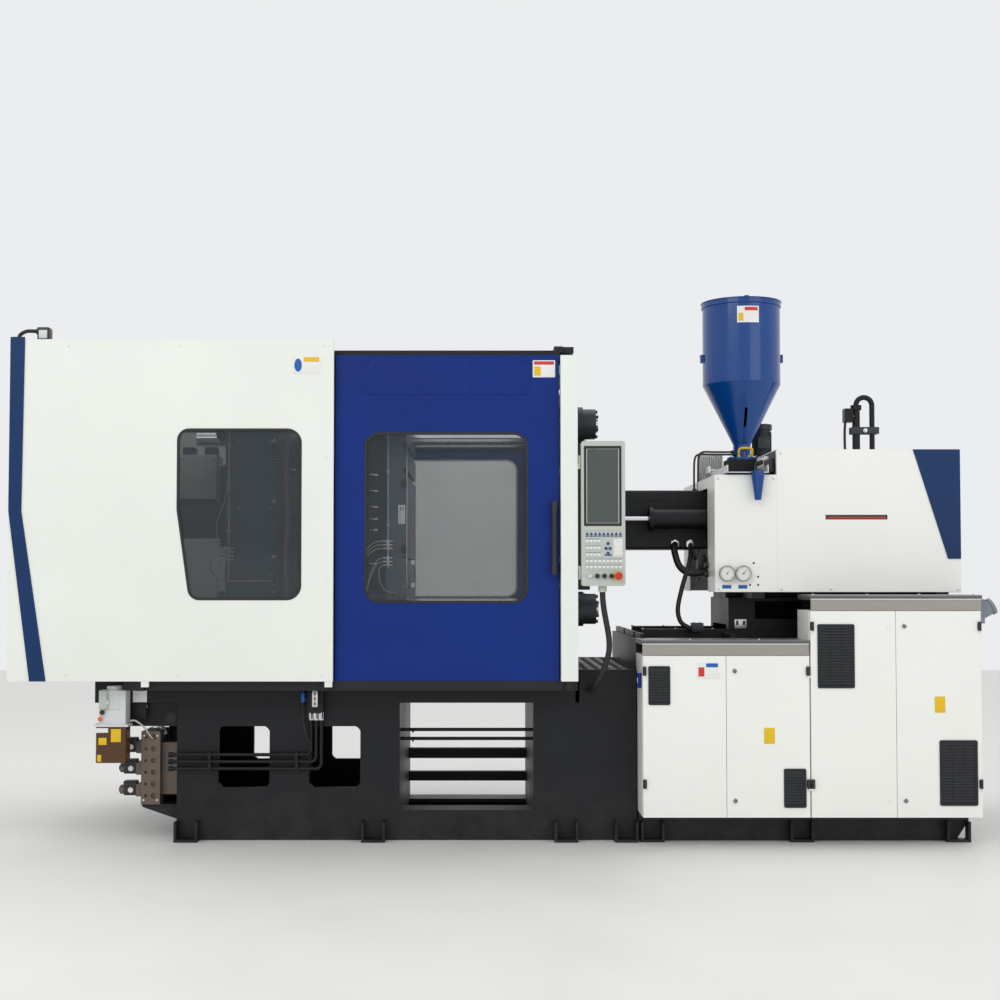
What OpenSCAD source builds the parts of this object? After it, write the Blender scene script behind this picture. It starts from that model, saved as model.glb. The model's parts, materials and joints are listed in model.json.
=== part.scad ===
// Horizontal injection moulding machine with a double toggle clamp.
// X runs from the clamp end to the injection end, +Y to the rear and Z up.
// The floor is z = 0, and x = 0 lies under the mould space. Millimetres.

/* [Bed] */
// Length of the clamp bed where it stands on the floor
bed_len = 2122; // [1900:2:2300]
// Left end of the clamp bed, measured from the origin
bed_left = 1488; // [1380:1:1500]
// Depth of the bed, front to rear
bed_depth = 1100; // [1060:2:1120]
// Height of the bed under its upper beam
bed_h = 631; // [600:1:660]
// Height of the upper beam that carries the platens
beam_h = 111; // [90:1:130]
// Length of the upper beam
beam_len = 2217; // [2180:1:2260]
// Wall of the welded bed
bed_wall = 25; // [15:1:30]
// Width of the opening under the mould space
chute_w = 617; // [500:1:640]
// Height of the lip under that opening
chute_sill = 137; // [110:1:180]
// Width of the left service opening
service_w = 236; // [180:2:250]
// Height of the service openings
service_h = 281; // [220:1:300]
// Corner radius of the service openings
service_r = 30; // [15:1:45]
// Thickness of the floor brackets
foot_t = 12; // [8:1:16]
// Height of the floor brackets
foot_h = 92; // [70:1:110]

/* [Platens and tie bars] */
// Height of the machine axis above the upper beam
axis_rise = 758; // [740:1:770]
// Width of the platens, front to rear
platen_w = 1000; // [960:2:1020]
// Height of the platens
platen_h = 1140; // [1100:2:1160]
// Thickness of the moving platen
moving_t = 206; // [160:2:230]
// Thickness of the rear platen
rear_t = 245; // [200:5:260]
// Thickness of the stationary platen's plate
fixed_t = 98; // [80:1:110]
// Thickness of the stationary platen's raised centre
fixed_hub_t = 80; // [50:1:85]
// Radius of the tie bars
tie_r = 40; // [34:1:46]
// Tie bar spacing, front to rear
tie_span_y = 740; // [720:2:760]
// Tie bar spacing in height
tie_span_z = 880; // [860:2:900]
// Length of the tie bars
tie_len = 2052; // [2020:2:2080]
// Radius of the tie bar nuts
nut_r = 72; // [62:1:78]
// Length of the tie bar nuts
nut_len = 60; // [40:1:64]
// Running clearance of a shaft in its bore, on the radius
shaft_fit = 0.05; // [0.02:0.01:0.09]
// Width of the mould fixing slots
slot_w = 26; // [18:1:34]
// Radius of the locating bore for the mould ring
locating_r = 62.5; // [50:0.5:80]

/* [Toggle] */
// Length of each main link, pin to pin
link_len = 264; // [258:1:268]
// Angle of the links when the clamp is open
link_angle = 56; // [54:0.5:57]
// Height of the outer toggle pins above and below the axis
toggle_h = 300; // [294:1:310]
// Length of the cross links, pin to pin
cross_len = 100; // [96:1:104]
// Radius of the toggle pins
pin_r = 22; // [16:1:26]
// Radius of the link eyes
eye_r = 44; // [38:1:46]
// Distance of the inner link plates from the middle
link_y = 170; // [168:1:174]
// Thickness of the rear link
link_t = 60; // [52:1:62]
// Thickness of the fork plates
fork_t = 35; // [28:1:36]
// Side gap between links
link_gap = 5; // [3:0.5:6]
// Radius of the clamp piston rod
piston_r = 38; // [30:1:44]
// Length of the clamp cylinder
cylinder_len = 370; // [320:5:420]
// Radius of the clamp cylinder
cylinder_r = 95; // [80:1:110]

/* [Guards and doors] */
// Overall width of the machine over its guards
guard_depth = 1500; // [1480:2:1520]
// Length of the clamp guard
guard_len = 1463; // [1440:1:1480]
// Height of the clamp guard above the beam
guard_h = 1544; // [1530:1:1568]
// Length of the sliding door
door_len = 1014; // [1000:1:1030]
// Height of the sliding door
door_h = 1478; // [1460:1:1482]
// Thickness of the sliding door
door_t = 35; // [28:1:38]
// Sheet thickness of the guards
guard_t = 20; // [12:1:22]
// Running gap round the sliding door
door_gap = 7; // [4:1:9]
// Width of the white post beside the door
post_w = 76; // [60:1:90]
// Left edge of that post
post_left = 275; // [274:1:280]
// Height of the post
post_h = 1472; // [1450:1:1476]
// Height of the sliding door's window
window_h = 763; // [700:1:780]
// Width of the sliding door's window
window_w = 731; // [690:1:740]
// Corner radius of the windows
window_r = 60; // [40:1:70]
// Thickness of the window panes
pane_t = 6; // [4:0.5:8]
// Width of the black seal round the windows
seal_w = 14; // [10:1:18]
// Length of the door handle
handle_len = 330; // [280:2:360]
// Radius of the door handle's bar
handle_r = 11; // [9:0.5:13]
// Square tube of the guard frame
tube_w = 50; // [40:2:54]

/* [Injection unit] */
// Length of the injection bed
base_len = 1520; // [1500:2:1540]
// Height of the machine axis above the injection base
axis_over_deck = 580; // [576:1:588]
// Radius of the barrel
barrel_r = 62; // [54:1:66]
// Radius of the screw bore
screw_r = 27.5; // [22:0.5:32]
// Height of the dark barrel cover
barrel_cover_h = 290; // [270:2:300]
// Radius of the hopper
hopper_r = 193; // [180:1:200]
// Height of the hopper's straight wall
hopper_wall_h = 412; // [390:1:430]
// Height of the hopper's cone
hopper_cone_h = 300; // [280:1:320]
// Height of the hopper's neck
hopper_neck_h = 76; // [66:1:86]
// Radius of the hopper's neck
throat_r = 43; // [38:1:50]
// Wall of the hopper
hopper_wall = 4; // [3:0.5:6]
// Distance of the hopper's axis from the origin
hopper_x = 1230; // [1226:1:1236]
// Length of the white injection cover
cover_len = 1149; // [1130:1:1160]
// Height of the white injection cover
cover_h = 668; // [650:1:690]
// Sheet thickness of the injection cover
cover_t = 6; // [4:1:8]
// Radius of the pressure gauges
gauge_r = 37; // [32:1:40]

/* [Cabinets and panel] */
// Depth of the electrical cabinets
cabinet_depth = 250; // [220:2:252]
// Length of the low cabinet
low_len = 751; // [745:1:751]
// Length of the tall cabinet
tall_len = 770; // [750:1:790]
// Drop of the low cabinet's doors below the injection base's deck
low_drop = 61; // [56:1:70]
// Drop of the tall cabinet's doors below the injection cover
tall_drop = 81; // [78:1:95]
// Bottom of the cabinets above the floor
cabinet_bottom_z = 135; // [120:1:150]
// Thickness of the cabinet doors
leaf_t = 22; // [18:1:26]
// Height of the stainless trim on the cabinets
trim_h = 52; // [44:1:58]
// Width of the control panel
panel_w = 197; // [185:1:205]
// Height of the control panel
panel_h = 653; // [640:1:670]
// Thickness of the control panel
panel_t = 70; // [60:1:80]

/* [Hidden] */
$fn = 48;

touch = 0.3;
front_y = -guard_depth / 2;
bed_y = bed_depth / 2;
bed_x0 = -bed_left;
bed_x1 = bed_x0 + bed_len;
beam_x1 = post_left + post_w;
beam_x0 = beam_x1 - beam_len;
beam_z0 = bed_h;
beam_z1 = bed_h + beam_h;
axis_h = beam_z1 + axis_rise;
beam_proud = 12;
beam_y = bed_y + beam_proud;
chute_x0 = -460;
chute_x1 = chute_x0 + chute_w;
service_z0 = 241;
service_a_x0 = -1297;
service_b_x0 = -878;
web_x = -985;
bolt_r = 11;
bed_feet_x = [-1434, -578, 305, 580];
pipe_r = 8;
way_h = 24;
way_w = 90;
way_top_z = beam_z1 + way_h;

tie_y = tie_span_y / 2;
tie_z = tie_span_z / 2;
fixed_x0 = post_left - 13;
fixed_x1 = fixed_x0 + fixed_t;
tie_x1 = fixed_x1 + fixed_hub_t / 2 + nut_len + 12;
tie_x0 = tie_x1 - tie_len;
platen_z0 = axis_h - platen_h / 2;
platen_z1 = axis_h + platen_h / 2;
rear_pin_x = -985;
pin_seat = eye_r + 6;
rear_x1 = rear_pin_x - pin_seat;
rear_x0 = rear_x1 - rear_t;
open_x = link_len * cos(link_angle);
open_z = link_len * sin(link_angle);
elbow_x = rear_pin_x + open_x;
moving_pin_x = rear_pin_x + 2 * open_x;
moving_x0 = moving_pin_x + eye_r + 6;
moving_x1 = moving_x0 + moving_t;
cross_x = rear_pin_x + cross_len * cos(link_angle);
cross_z = cross_len * sin(link_angle);
crosshead_x = rear_pin_x + 2 * cross_len * cos(link_angle);
crosshead_t = 72;
crosshead_y = 90;
ear_r = eye_r + 4;
fork_in_y = link_y - link_gap - fork_t;
fork_out_y = link_y + link_t + link_gap;
fork_end_y = fork_out_y + fork_t;
cross_t = 22;
cross_y0 = fork_in_y - link_gap - cross_t;
cross_y1 = cross_y0 + cross_t;
cross_pin_r = 14;
cross_eye_r = 29;
open_fit = 0.5;
shoe_y0 = tie_y - 40;
shoe_y1 = tie_y + 40;
locating_depth = 40;
nozzle_way_r = 112;
hub_y = 300;
hub_z = 350;
boss_r = nut_r + 10;
boss_x1 = fixed_x1 + fixed_hub_t / 2;
guide_z = toggle_h - 62;
guide_r = 18;

guard_top_z = beam_z1 + guard_h;
door_top_z = beam_z1 + door_h;
post_top_z = beam_z1 + post_h;
guard_x1 = post_left - 2 * door_gap - door_len + 2;
guard_x0 = guard_x1 - guard_len;
door_x0 = post_left - door_gap - door_len;
door_x1 = door_x0 + door_len;
door_z0 = beam_z1;
door_y = front_y + guard_t + 2 * door_gap + 6;
window_z0 = axis_h - 401;
window_x1 = door_x1 - 145;
window_x0 = window_x1 - window_w;
frame_top = guard_top_z - guard_t - touch;

base_x0 = bed_x1 + 5;
base_x1 = base_x0 + base_len;
base_y0 = front_y + cabinet_depth;
base_y1 = 170 - base_y0;
deck_z = axis_h - axis_over_deck;
cover_z0 = axis_h - 359;
low_top_z = deck_z - low_drop;
tall_top_z = cover_z0 - tall_drop;
leaf_gap = 1.8;
knuckle_r = 7;
hinge_pin_r = 3;
rear_sill = chute_sill - 90;
low_x0 = base_x0;
low_x1 = low_x0 + low_len;
tall_x0 = low_x1 + 2;
tall_x1 = tall_x0 + tall_len;
low_trim_z = low_top_z + trim_h;
low_lid_z = low_trim_z + 16;
tall_trim_z = tall_top_z + trim_h;
tall_lid_z = tall_trim_z + 18;
cover_x0 = 1009;
cover_x1 = cover_x0 + cover_len;
cover_z1 = cover_z0 + cover_h;
cover_y = 500;
cover_step_x = 1300;
cover_step_h = 119;
throat_z = cover_z1 - 10;
hopper_low_z = throat_z + hopper_neck_h;
hopper_mid_z = hopper_low_z + hopper_cone_h;
hopper_top_z = hopper_mid_z + hopper_wall_h;
flange_r = 74;
block_x0 = hopper_x - 85;
block_x1 = hopper_x + 85;
block_z1 = axis_h + 110;
panel_x0 = 366;
panel_z0 = axis_h - 330;
panel_y = front_y - 4;
gland_x = 416;
gland_z = bed_h + 60;
panel_face = panel_y - 10;
panel_cable_y = front_y + 25;
low_split = low_x0 + low_len / 2;
tall_split = tall_x0 + tall_len / 2;

function arc(c, r, a0, a1, n) =
    [for (i = [0:n]) [c[0] + r * cos(a0 + (a1 - a0) * i / n), c[1] + r * sin(a0 + (a1 - a0) * i / n)]];
function unit(v) = v / norm(v);
// A polygon whose corners are rounded: points, one radius per corner, and steps in each arc
function rounded(p, r, n = 6) = [for (i = [0:len(p) - 1])
    let (a = unit(p[(i + len(p) - 1) % len(p)] - p[i]), b = unit(p[(i + 1) % len(p)] - p[i]),
        half = acos(a * b) / 2, m = unit(a + b), c = p[i] + m * r[i] / sin(half),
        s = p[i] + a * r[i] / tan(half) - c, e = p[i] + b * r[i] / tan(half) - c,
        turn = sign(s[0] * e[1] - s[1] * e[0]) * (180 - 2 * half), a0 = atan2(s[1], s[0]))
    each r[i] > 0 ? arc(c, r[i], a0, a0 + turn, n) : [p[i]]];
function rect(x0, z0, x1, z1) = [[x0, z0], [x1, z0], [x1, z1], [x0, z1]];
function soft_rect(x0, z0, x1, z1, r) = rounded(rect(x0, z0, x1, z1), [r, r, r, r]);

module box(x0, x1, y0, y1, z0, z1) {
    translate([x0, y0, z0]) cube([x1 - x0, y1 - y0, z1 - z0]);
}
module rod_x(x0, x1, y, z, r) {
    translate([x0, y, z]) rotate([0, 90, 0]) cylinder(h = x1 - x0, r = r);
}
module rod_y(y0, y1, x, z, r) {
    translate([x, y1, z]) rotate([90, 0, 0]) cylinder(h = y1 - y0, r = r);
}
module rod_z(z0, z1, x, y, r) {
    translate([x, y, z0]) cylinder(h = z1 - z0, r = r);
}
// A flat plate facing the front, drawn as it is seen from there
module face_plate(points, y0, y1) {
    translate([0, y1, 0]) rotate([90, 0, 0]) linear_extrude(y1 - y0) polygon(points);
}
// A plate facing the ends, drawn as y against z
module end_plate(points, x0, x1) {
    translate([x0, 0, 0]) rotate([90, 0, 90]) linear_extrude(x1 - x0) polygon(points);
}
module both_sides() {
    children();
    mirror([0, 1, 0]) children();
}
module up_and_down() {
    children();
    translate([0, 0, 2 * axis_h]) mirror([0, 0, 1]) children();
}
// A tube swept along points, with rings square to the path
module hose(points, r, sides = 10) {
    n = len(points);
    tangents = [for (i = [0:n - 1]) unit(points[min(i + 1, n - 1)] - points[max(i - 1, 0)])];
    ref = [0.13, 0.97, 0.21];
    rings = [for (i = [0:n - 1]) let (u = unit(cross(tangents[i], ref)), v = cross(tangents[i], u))
        each [for (k = [0:sides - 1]) points[i] + r * (u * cos(360 * k / sides) + v * sin(360 *
            k / sides))]];
    walls = [for (i = [0:n - 2]) for (k = [0:sides - 1]) let (j = (k + 1) % sides)
        [i * sides + k, i * sides + j, (i + 1) * sides + j, (i + 1) * sides + k]];
    caps = [[for (k = [sides - 1:-1:0]) k], [for (k = [0:sides - 1]) (n - 1) * sides + k]];
    polyhedron(rings, concat(walls, caps), convexity = 6);
}
function bezier(p, t) = let (u = 1 - t)
    u * u * u * p[0] + 3 * u * u * t * p[1] + 3 * u * t * t * p[2] + t * t * t * p[3];
function curve(p, n) = [for (i = [0:n]) bezier(p, i / n)];

// The rounded corner of a service opening, filled from x, z towards sx, sz
module window_corner(x, z, sx, sz) {
    r = service_r;
    arc = [for (a = [20:10:70]) [x + sx * r * (1 - sin(a)), z + sz * r * (1 - cos(a))]];
    face_plate(concat([[x + sx * touch, z + sz * touch], [arc[0].x, z + sz * touch]], arc,
        [[x + sx * touch, arc[5].y]]), -bed_y, bed_wall - bed_y);
}
// A side wall of the bed in simple plates round its openings, with the height of its sill at the drop chute
module bed_side(sill) {
    y = [-bed_y, bed_wall - bed_y];
    z = [foot_t + touch, beam_z0 - touch];
    service_z1 = service_z0 + service_h;
    for (x = [[bed_x0, service_a_x0], [service_a_x0 + service_w, service_b_x0], [service_b_x0 +
        service_w, chute_x0],
        [chute_x1, bed_x1]]) box(x[0], x[1], y[0], y[1], z[0], z[1]);
    for (x = [service_a_x0, service_b_x0]) {
        box(x + touch, x + service_w - touch, y[0], y[1], z[0], service_z0);
        box(x + touch, x + service_w - touch, y[0], y[1], service_z1, z[1]);
        for (s = [1, -1]) {
            window_corner(s > 0 ? x : x + service_w, service_z0, s, 1);
            window_corner(s > 0 ? x : x + service_w, service_z1, s, -1);
        }
    }
    box(chute_x0 + touch, chute_x1 - touch, y[0], y[1], z[0], sill);
}
// A U-shaped floor bracket with a bolt hole, standing out from the wall behind it
module floor_bracket(reach) {
    half = 54;
    difference() {
        union() {
            box(-half, half, -reach, 0, 0, foot_t);
            for (s = [-half, half - foot_t]) box(s, s + foot_t, -reach, 0, 0, foot_h);
        }
        rod_z(-1, foot_t + 1, 0, -reach / 2, bolt_r);
    }
}
// The upper beam: two rails with a skin and cross bars between them
module beam_rails() {
    rail_in = bed_y - 140;
    in_y = rail_in - touch;
    skin = 25;
    bar = 60;
    both_sides() box(beam_x0, beam_x1, -beam_y, -rail_in, beam_z0, beam_z1);
    box(beam_x0, chute_x0, -in_y, in_y, beam_z1 - skin, beam_z1);
    for (x = [beam_x0, web_x - 525, web_x - 25, chute_x0 - bar])
        box(x, x + bar, -in_y, in_y, beam_z0, beam_z1 - skin - touch);
    box(chute_x1, beam_x1, -in_y, in_y, beam_z0, beam_z1);
}
// A plate across the bed between its side walls
module bed_web(x) {
    in_y = bed_y - bed_wall - touch;
    box(x, x + bed_wall, -in_y, in_y, foot_t + touch, beam_z0 - touch);
}
// The welds stay open by a hair, so that every plate of the bed is a simple solid
module bed_frame() {
    in_y = bed_y - bed_wall - touch;
    way_half = way_w / 2;
    color([0.12, 0.11, 0.13]) {
        bed_side(chute_sill);
        mirror([0, 1, 0]) bed_side(rear_sill);
        box(chute_x0 + touch, chute_x1 - touch, -in_y, 150 - bed_y, chute_sill - 20, chute_sill);
        box(chute_x0 + touch, chute_x1 - touch, bed_y - 150, in_y, rear_sill - 20, rear_sill);
        both_sides() {
            for (x = bed_feet_x) translate([x, -bed_y - touch, 0]) floor_bracket(68);
            box(-1500, fixed_x0, -tie_y - way_half, way_half - tie_y, beam_z1 + touch, way_top_z);
            box(beam_x0 + 120, bed_x0 - touch, 30 - bed_y, 60 - bed_y, beam_z0 - 111, beam_z0 - touch);
        }
        box(bed_x0, bed_x1, -bed_y, bed_y, 0, foot_t);
        for (x = [bed_x0, web_x - bed_wall / 2, chute_x0 - bed_wall, chute_x1,
            bed_x1 - bed_wall]) bed_web(x);
        for (z = [[259, 312], [141, 190]]) box(chute_x0 + touch, chute_x1 - touch, 400, 440, z[0], z[1]);
        beam_rails();
    }
}
module step_box() {
    tread_t = 6;
    x0 = beam_x1 + 19;
    z1 = bed_h + 158;
    color([0.11, 0.10, 0.12]) {
        difference() {
            box(x0, bed_x1, -bed_y, bed_y, bed_h, z1 - tread_t);
            box(x0 + bed_wall, bed_x1 - bed_wall, bed_wall - bed_y, bed_y - bed_wall, bed_h - 1, z1 - 29);
        }
        rod_y(touch - bed_y - 24, -bed_y, gland_x, gland_z, 19);
    }
    color([0.2, 0.2, 0.21]) for (x = [x0 + 14:52:bed_x1 - 40]) for (y = [20 - bed_y:86:bed_y - 60])
        translate([x + 8, y + 18, z1 - tread_t]) rotate([0, 0, 45]) cube([34, 6, tread_t / 2]);
}

module at_tie_bars() {
    for (y = [-tie_y, tie_y]) for (z = [axis_h - tie_z, axis_h + tie_z]) translate([0, y, z]) children();
}
module platen_outline() {
    cut = 60;
    w = platen_w / 2;
    end_pts = [[cut - w, platen_z0], [w - cut, platen_z0], [w, platen_z0 + cut], [w, platen_z1 - cut],
        [w - cut, platen_z1], [cut - w, platen_z1], [-w, platen_z1 - cut], [-w, platen_z0 + cut]];
    polygon(end_pts);
}
module platen_slab(x0, x1) {
    translate([x0, 0, 0]) rotate([90, 0, 90]) linear_extrude(x1 - x0) platen_outline();
}
// Slots across the mould face, open at both edges of the platen
module mould_slots(x0, x1) {
    for (z = [-330, -210, 210, 330])
        box(x0, x1, -platen_w, platen_w, axis_h + z - slot_w / 2, axis_h + z + slot_w / 2);
}
module stationary_platen() {
    color([0.2, 0.21, 0.22]) difference() {
        union() {
            platen_slab(fixed_x0, fixed_x1);
            box(fixed_x1, fixed_x1 + fixed_hub_t, -hub_y, hub_y, axis_h - hub_z, axis_h + hub_z);
            at_tie_bars() rod_x(fixed_x1, boss_x1, 0, 0, boss_r);
            both_sides() box(fixed_x0, fixed_x1, -460, -150, beam_z1, platen_z0);
        }
        at_tie_bars() rod_x(fixed_x0 - 1, boss_x1 + 1, 0, 0, tie_r + touch);
        mould_slots(fixed_x0 - 1, fixed_x0 + 22);
        rod_x(fixed_x0 - 1, fixed_x1, 0, axis_h, locating_r);
        rod_x(fixed_x0 + locating_depth, fixed_x1 + fixed_hub_t + 1, 0, axis_h, nozzle_way_r);
    }
}
module tie_bars() {
    color([0.75, 0.76, 0.78]) at_tie_bars() rod_x(tie_x0, tie_x1, 0, 0, tie_r);
}
module tie_nut(x0, x1, teeth) {
    difference() {
        union() {
            rod_x(x0, x1, 0, 0, nut_r);
            for (i = [0:teeth - 1]) rotate([360 * i / teeth, 0, 0]) box(x0 + 12, x0 + 30, -6, 6, 0,
                nut_r + 12);
        }
        rod_x(x0 - 1, x1 + 1, 0, 0, tie_r + shaft_fit);
    }
}
module tie_bar_nuts() {
    bolt_circle = nut_r - 13;
    color([0.25, 0.24, 0.24]) at_tie_bars() {
        tie_nut(boss_x1, boss_x1 + nut_len, 0);
        for (a = [0:60:300]) rotate([a, 0, 0]) rod_x(boss_x1 + nut_len, boss_x1 + nut_len + 12, 0,
            bolt_circle, 8);
    }
}
module mould_height_nuts() {
    color([0.35, 0.33, 0.3]) at_tie_bars() tie_nut(rear_x0 - nut_len, rear_x0, 18);
}
module rear_platen() {
    color([0.22, 0.23, 0.25]) difference() {
        union() {
            platen_slab(rear_x0, rear_x1);
            both_sides() {
                box(rear_x0, rear_x1, -shoe_y1, -shoe_y0, way_top_z + touch, platen_z0);
                up_and_down() for (y = [[fork_in_y, fork_in_y + fork_t], [fork_out_y, fork_end_y]]) {
                    box(rear_x1, rear_pin_x, -y[1], -y[0], axis_h + toggle_h - ear_r, axis_h + toggle_h +
                        ear_r);
                    rod_y(-y[1], -y[0], rear_pin_x, axis_h + toggle_h, ear_r);
                }
            }
        }
        at_tie_bars() rod_x(rear_x0 - 1, rear_x1 + 1, 0, 0, tie_r + shaft_fit);
        up_and_down() rod_y(-fork_end_y - 1, fork_end_y + 1, rear_pin_x, axis_h + toggle_h, pin_r +
            shaft_fit);
        rod_x(rear_x0 - 1, rear_x1 + 1, 0, axis_h, piston_r + shaft_fit);
        up_and_down() rod_x(rear_x0 - 1, rear_x1 + 1, 0, axis_h + guide_z, guide_r + shaft_fit);
        both_sides() for (z = [-390, 130]) box(rear_x0 - 1, rear_x1 - 60, -270, -90, axis_h + z, axis_h +
            z + 260);
    }
}
module clamp_cylinder() {
    x0 = rear_x0 - cylinder_len;
    end_t = 36;
    color([0.3, 0.31, 0.33]) difference() {
        union() {
            rod_x(x0, rear_x0, 0, axis_h, cylinder_r);
            rod_x(rear_x0 - end_t, rear_x0, 0, axis_h, cylinder_r + 22);
            rod_x(x0, x0 + end_t, 0, axis_h, cylinder_r + 16);
            for (x = [x0 + end_t + 20, rear_x0 - end_t - 60])
                box(x, x + 40, -22, 22, axis_h + cylinder_r - 8, axis_h + cylinder_r + 34);
        }
        rod_x(x0 + end_t, rear_x0 - end_t, 0, axis_h, cylinder_r - 22);
        rod_x(rear_x0 - end_t - 1, rear_x0 + 1, 0, axis_h, piston_r + shaft_fit);
    }
}
module guide_rods() {
    collar = 14;
    color([0.8, 0.8, 0.82]) up_and_down() {
        rod_x(rear_x0 - 30, elbow_x + 105, 0, axis_h + guide_z, guide_r);
        rod_x(rear_x0 - 30, rear_x0, 0, axis_h + guide_z, guide_r + collar);
    }
}
module crosshead() {
    arm_y = 48;
    piston_x0 = rear_x0 - cylinder_len + 36 + 8;
    color([0.26, 0.27, 0.3]) {
        difference() {
            union() {
                box(crosshead_x - crosshead_t / 2, crosshead_x + crosshead_t / 2, -crosshead_y, crosshead_y,
                    axis_h - crosshead_y, axis_h + crosshead_y);
                box(crosshead_x - crosshead_t / 2, crosshead_x + crosshead_t / 2, -arm_y, arm_y,
                    axis_h - toggle_h, axis_h + toggle_h);
                up_and_down() rod_y(-crosshead_y, crosshead_y, crosshead_x, axis_h + toggle_h,
                    crosshead_t / 2);
            }
            up_and_down() rod_x(crosshead_x - crosshead_t, crosshead_x + crosshead_t, 0,
                axis_h + guide_z, guide_r + shaft_fit);
        }
        up_and_down() rod_y(-cross_y1, cross_y1, crosshead_x, axis_h + toggle_h, cross_pin_r);
    }
    color([0.82, 0.82, 0.84]) {
        rod_x(piston_x0, crosshead_x - crosshead_t / 2, 0, axis_h, piston_r);
        rod_x(piston_x0, piston_x0 + 44, 0, axis_h, cylinder_r - 22 - shaft_fit);
    }
}
// A bar with a round eye at each end, from the origin along +X
module eye_bar(length, y0, y1, r, waist) {
    rod_y(y0, y1, 0, 0, r);
    rod_y(y0, y1, length, 0, r);
    box(0, length, y0, y1, -waist, waist);
}
module rear_link_shape(elbow_fit) {
    translate([rear_pin_x, 0, axis_h + toggle_h]) rotate([0, link_angle, 0]) {
        both_sides() {
            difference() {
                eye_bar(link_len, -link_y - link_t, -link_y, eye_r, eye_r - 8);
                rod_y(-link_y - link_t - 1, 1 - link_y, link_len, 0, pin_r + elbow_fit);
            }
            rod_y(-link_y, -cross_y0, cross_len, 0, cross_pin_r);
        }
        rod_y(-fork_end_y, fork_end_y, 0, 0, pin_r);
    }
}
module front_link_shape() {
    translate([elbow_x, 0, axis_h + toggle_h - open_z]) rotate([0, -link_angle, 0]) {
        both_sides() {
            for (y = [[fork_in_y, fork_in_y + fork_t], [fork_out_y, fork_end_y]])
                eye_bar(link_len, -y[1], -y[0], eye_r, eye_r - 8);
            rod_y(-fork_end_y, -fork_in_y, 0, 0, pin_r);
        }
        rod_y(-fork_end_y, fork_end_y, link_len, 0, pin_r);
    }
}
module cross_link_shape(pivot_fit) {
    translate([cross_x, 0, axis_h + toggle_h - cross_z]) rotate([0, -link_angle,
        0]) both_sides() difference() {
        eye_bar(cross_len, -cross_y1, -cross_y0, cross_eye_r, cross_eye_r - 6);
        rod_y(-cross_y1 - 1, 1 - cross_y0, 0, 0, cross_pin_r + shaft_fit);
        rod_y(-cross_y1 - 1, 1 - cross_y0, cross_len, 0, cross_pin_r + pivot_fit);
    }
}
module below() {
    translate([0, 0, 2 * axis_h]) mirror([0, 0, 1]) children();
}
module upper_rear_link() {
    color([0.32, 0.33, 0.35]) rear_link_shape(shaft_fit);
}
module upper_front_link() {
    color([0.36, 0.37, 0.39]) front_link_shape();
}
module upper_cross_link() {
    color([0.42, 0.42, 0.44]) cross_link_shape(shaft_fit);
}
module lower_rear_link() {
    color([0.32, 0.33, 0.35]) below() rear_link_shape(shaft_fit);
}
module lower_front_link() {
    color([0.36, 0.37, 0.39]) below() front_link_shape();
}
module lower_cross_link() {
    color([0.42, 0.42, 0.44]) below() cross_link_shape(open_fit);
}
module platen_ear(fit) {
    difference() {
        union() {
            box(moving_pin_x, moving_x0, -link_y - link_t, -link_y, axis_h + toggle_h - eye_r, axis_h +
                toggle_h + eye_r);
            rod_y(-link_y - link_t, -link_y, moving_pin_x, axis_h + toggle_h, eye_r);
        }
        rod_y(-link_y - link_t - 1, 1 - link_y, moving_pin_x, axis_h + toggle_h, pin_r + fit);
    }
}
module moving_platen() {
    plate_t = 96;
    color([0.21, 0.22, 0.24]) {
        difference() {
            union() {
                platen_slab(moving_x1 - plate_t, moving_x1);
                box(moving_x0, moving_x1, -330, 330, axis_h - 400, axis_h + 400);
                both_sides() box(moving_x0 - 20, moving_x1, -shoe_y1, -shoe_y0, way_top_z + touch,
                    platen_z0 + 20);
                at_tie_bars() rod_x(moving_x0, moving_x1, 0, 0, tie_r + 45);
            }
            at_tie_bars() rod_x(moving_x0 - 1, moving_x1 + 1, 0, 0, tie_r + shaft_fit);
            mould_slots(moving_x1 - 22, moving_x1 + 1);
            rod_x(moving_x0 - 1, moving_x1 + 1, 0, axis_h, 30);
            both_sides() for (z = [-160, 90]) box(moving_x0 - 1, moving_x1 - plate_t, -310, -90, axis_h +
                z, axis_h + z + 70);
        }
        both_sides() {
            platen_ear(shaft_fit);
            below() platen_ear(open_fit);
        }
    }
}
module ejector_cylinder() {
    x0 = moving_x0 - 118;
    color([0.33, 0.34, 0.36]) {
        rod_x(x0, moving_x0, 0, axis_h, 52);
        rod_x(moving_x0 - 22, moving_x0, 0, axis_h, 72);
        rod_x(x0, x0 + 16, 0, axis_h, 60);
        rod_x(moving_x0, moving_x1 - 30, 0, axis_h, 22);
    }
}

function window_outline(grow) = let (x0 = guard_x0 + 763 - grow, x1 = guard_x0 + 1314 + grow,
    z0 = axis_h - 388 - grow, z1 = axis_h + 375 + grow, r = window_r + grow)
    rounded([[x0 + 56, z0], [x1, z0], [x1, z1], [x0, z1], [x0, axis_h + 13]], [r * 0.8, r, r, r * 0.8, 40]);
function door_window(grow) =
    soft_rect(window_x0 - grow, window_z0 - grow, window_x1 + grow, window_z0 + window_h + grow,
        window_r + grow);
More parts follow.
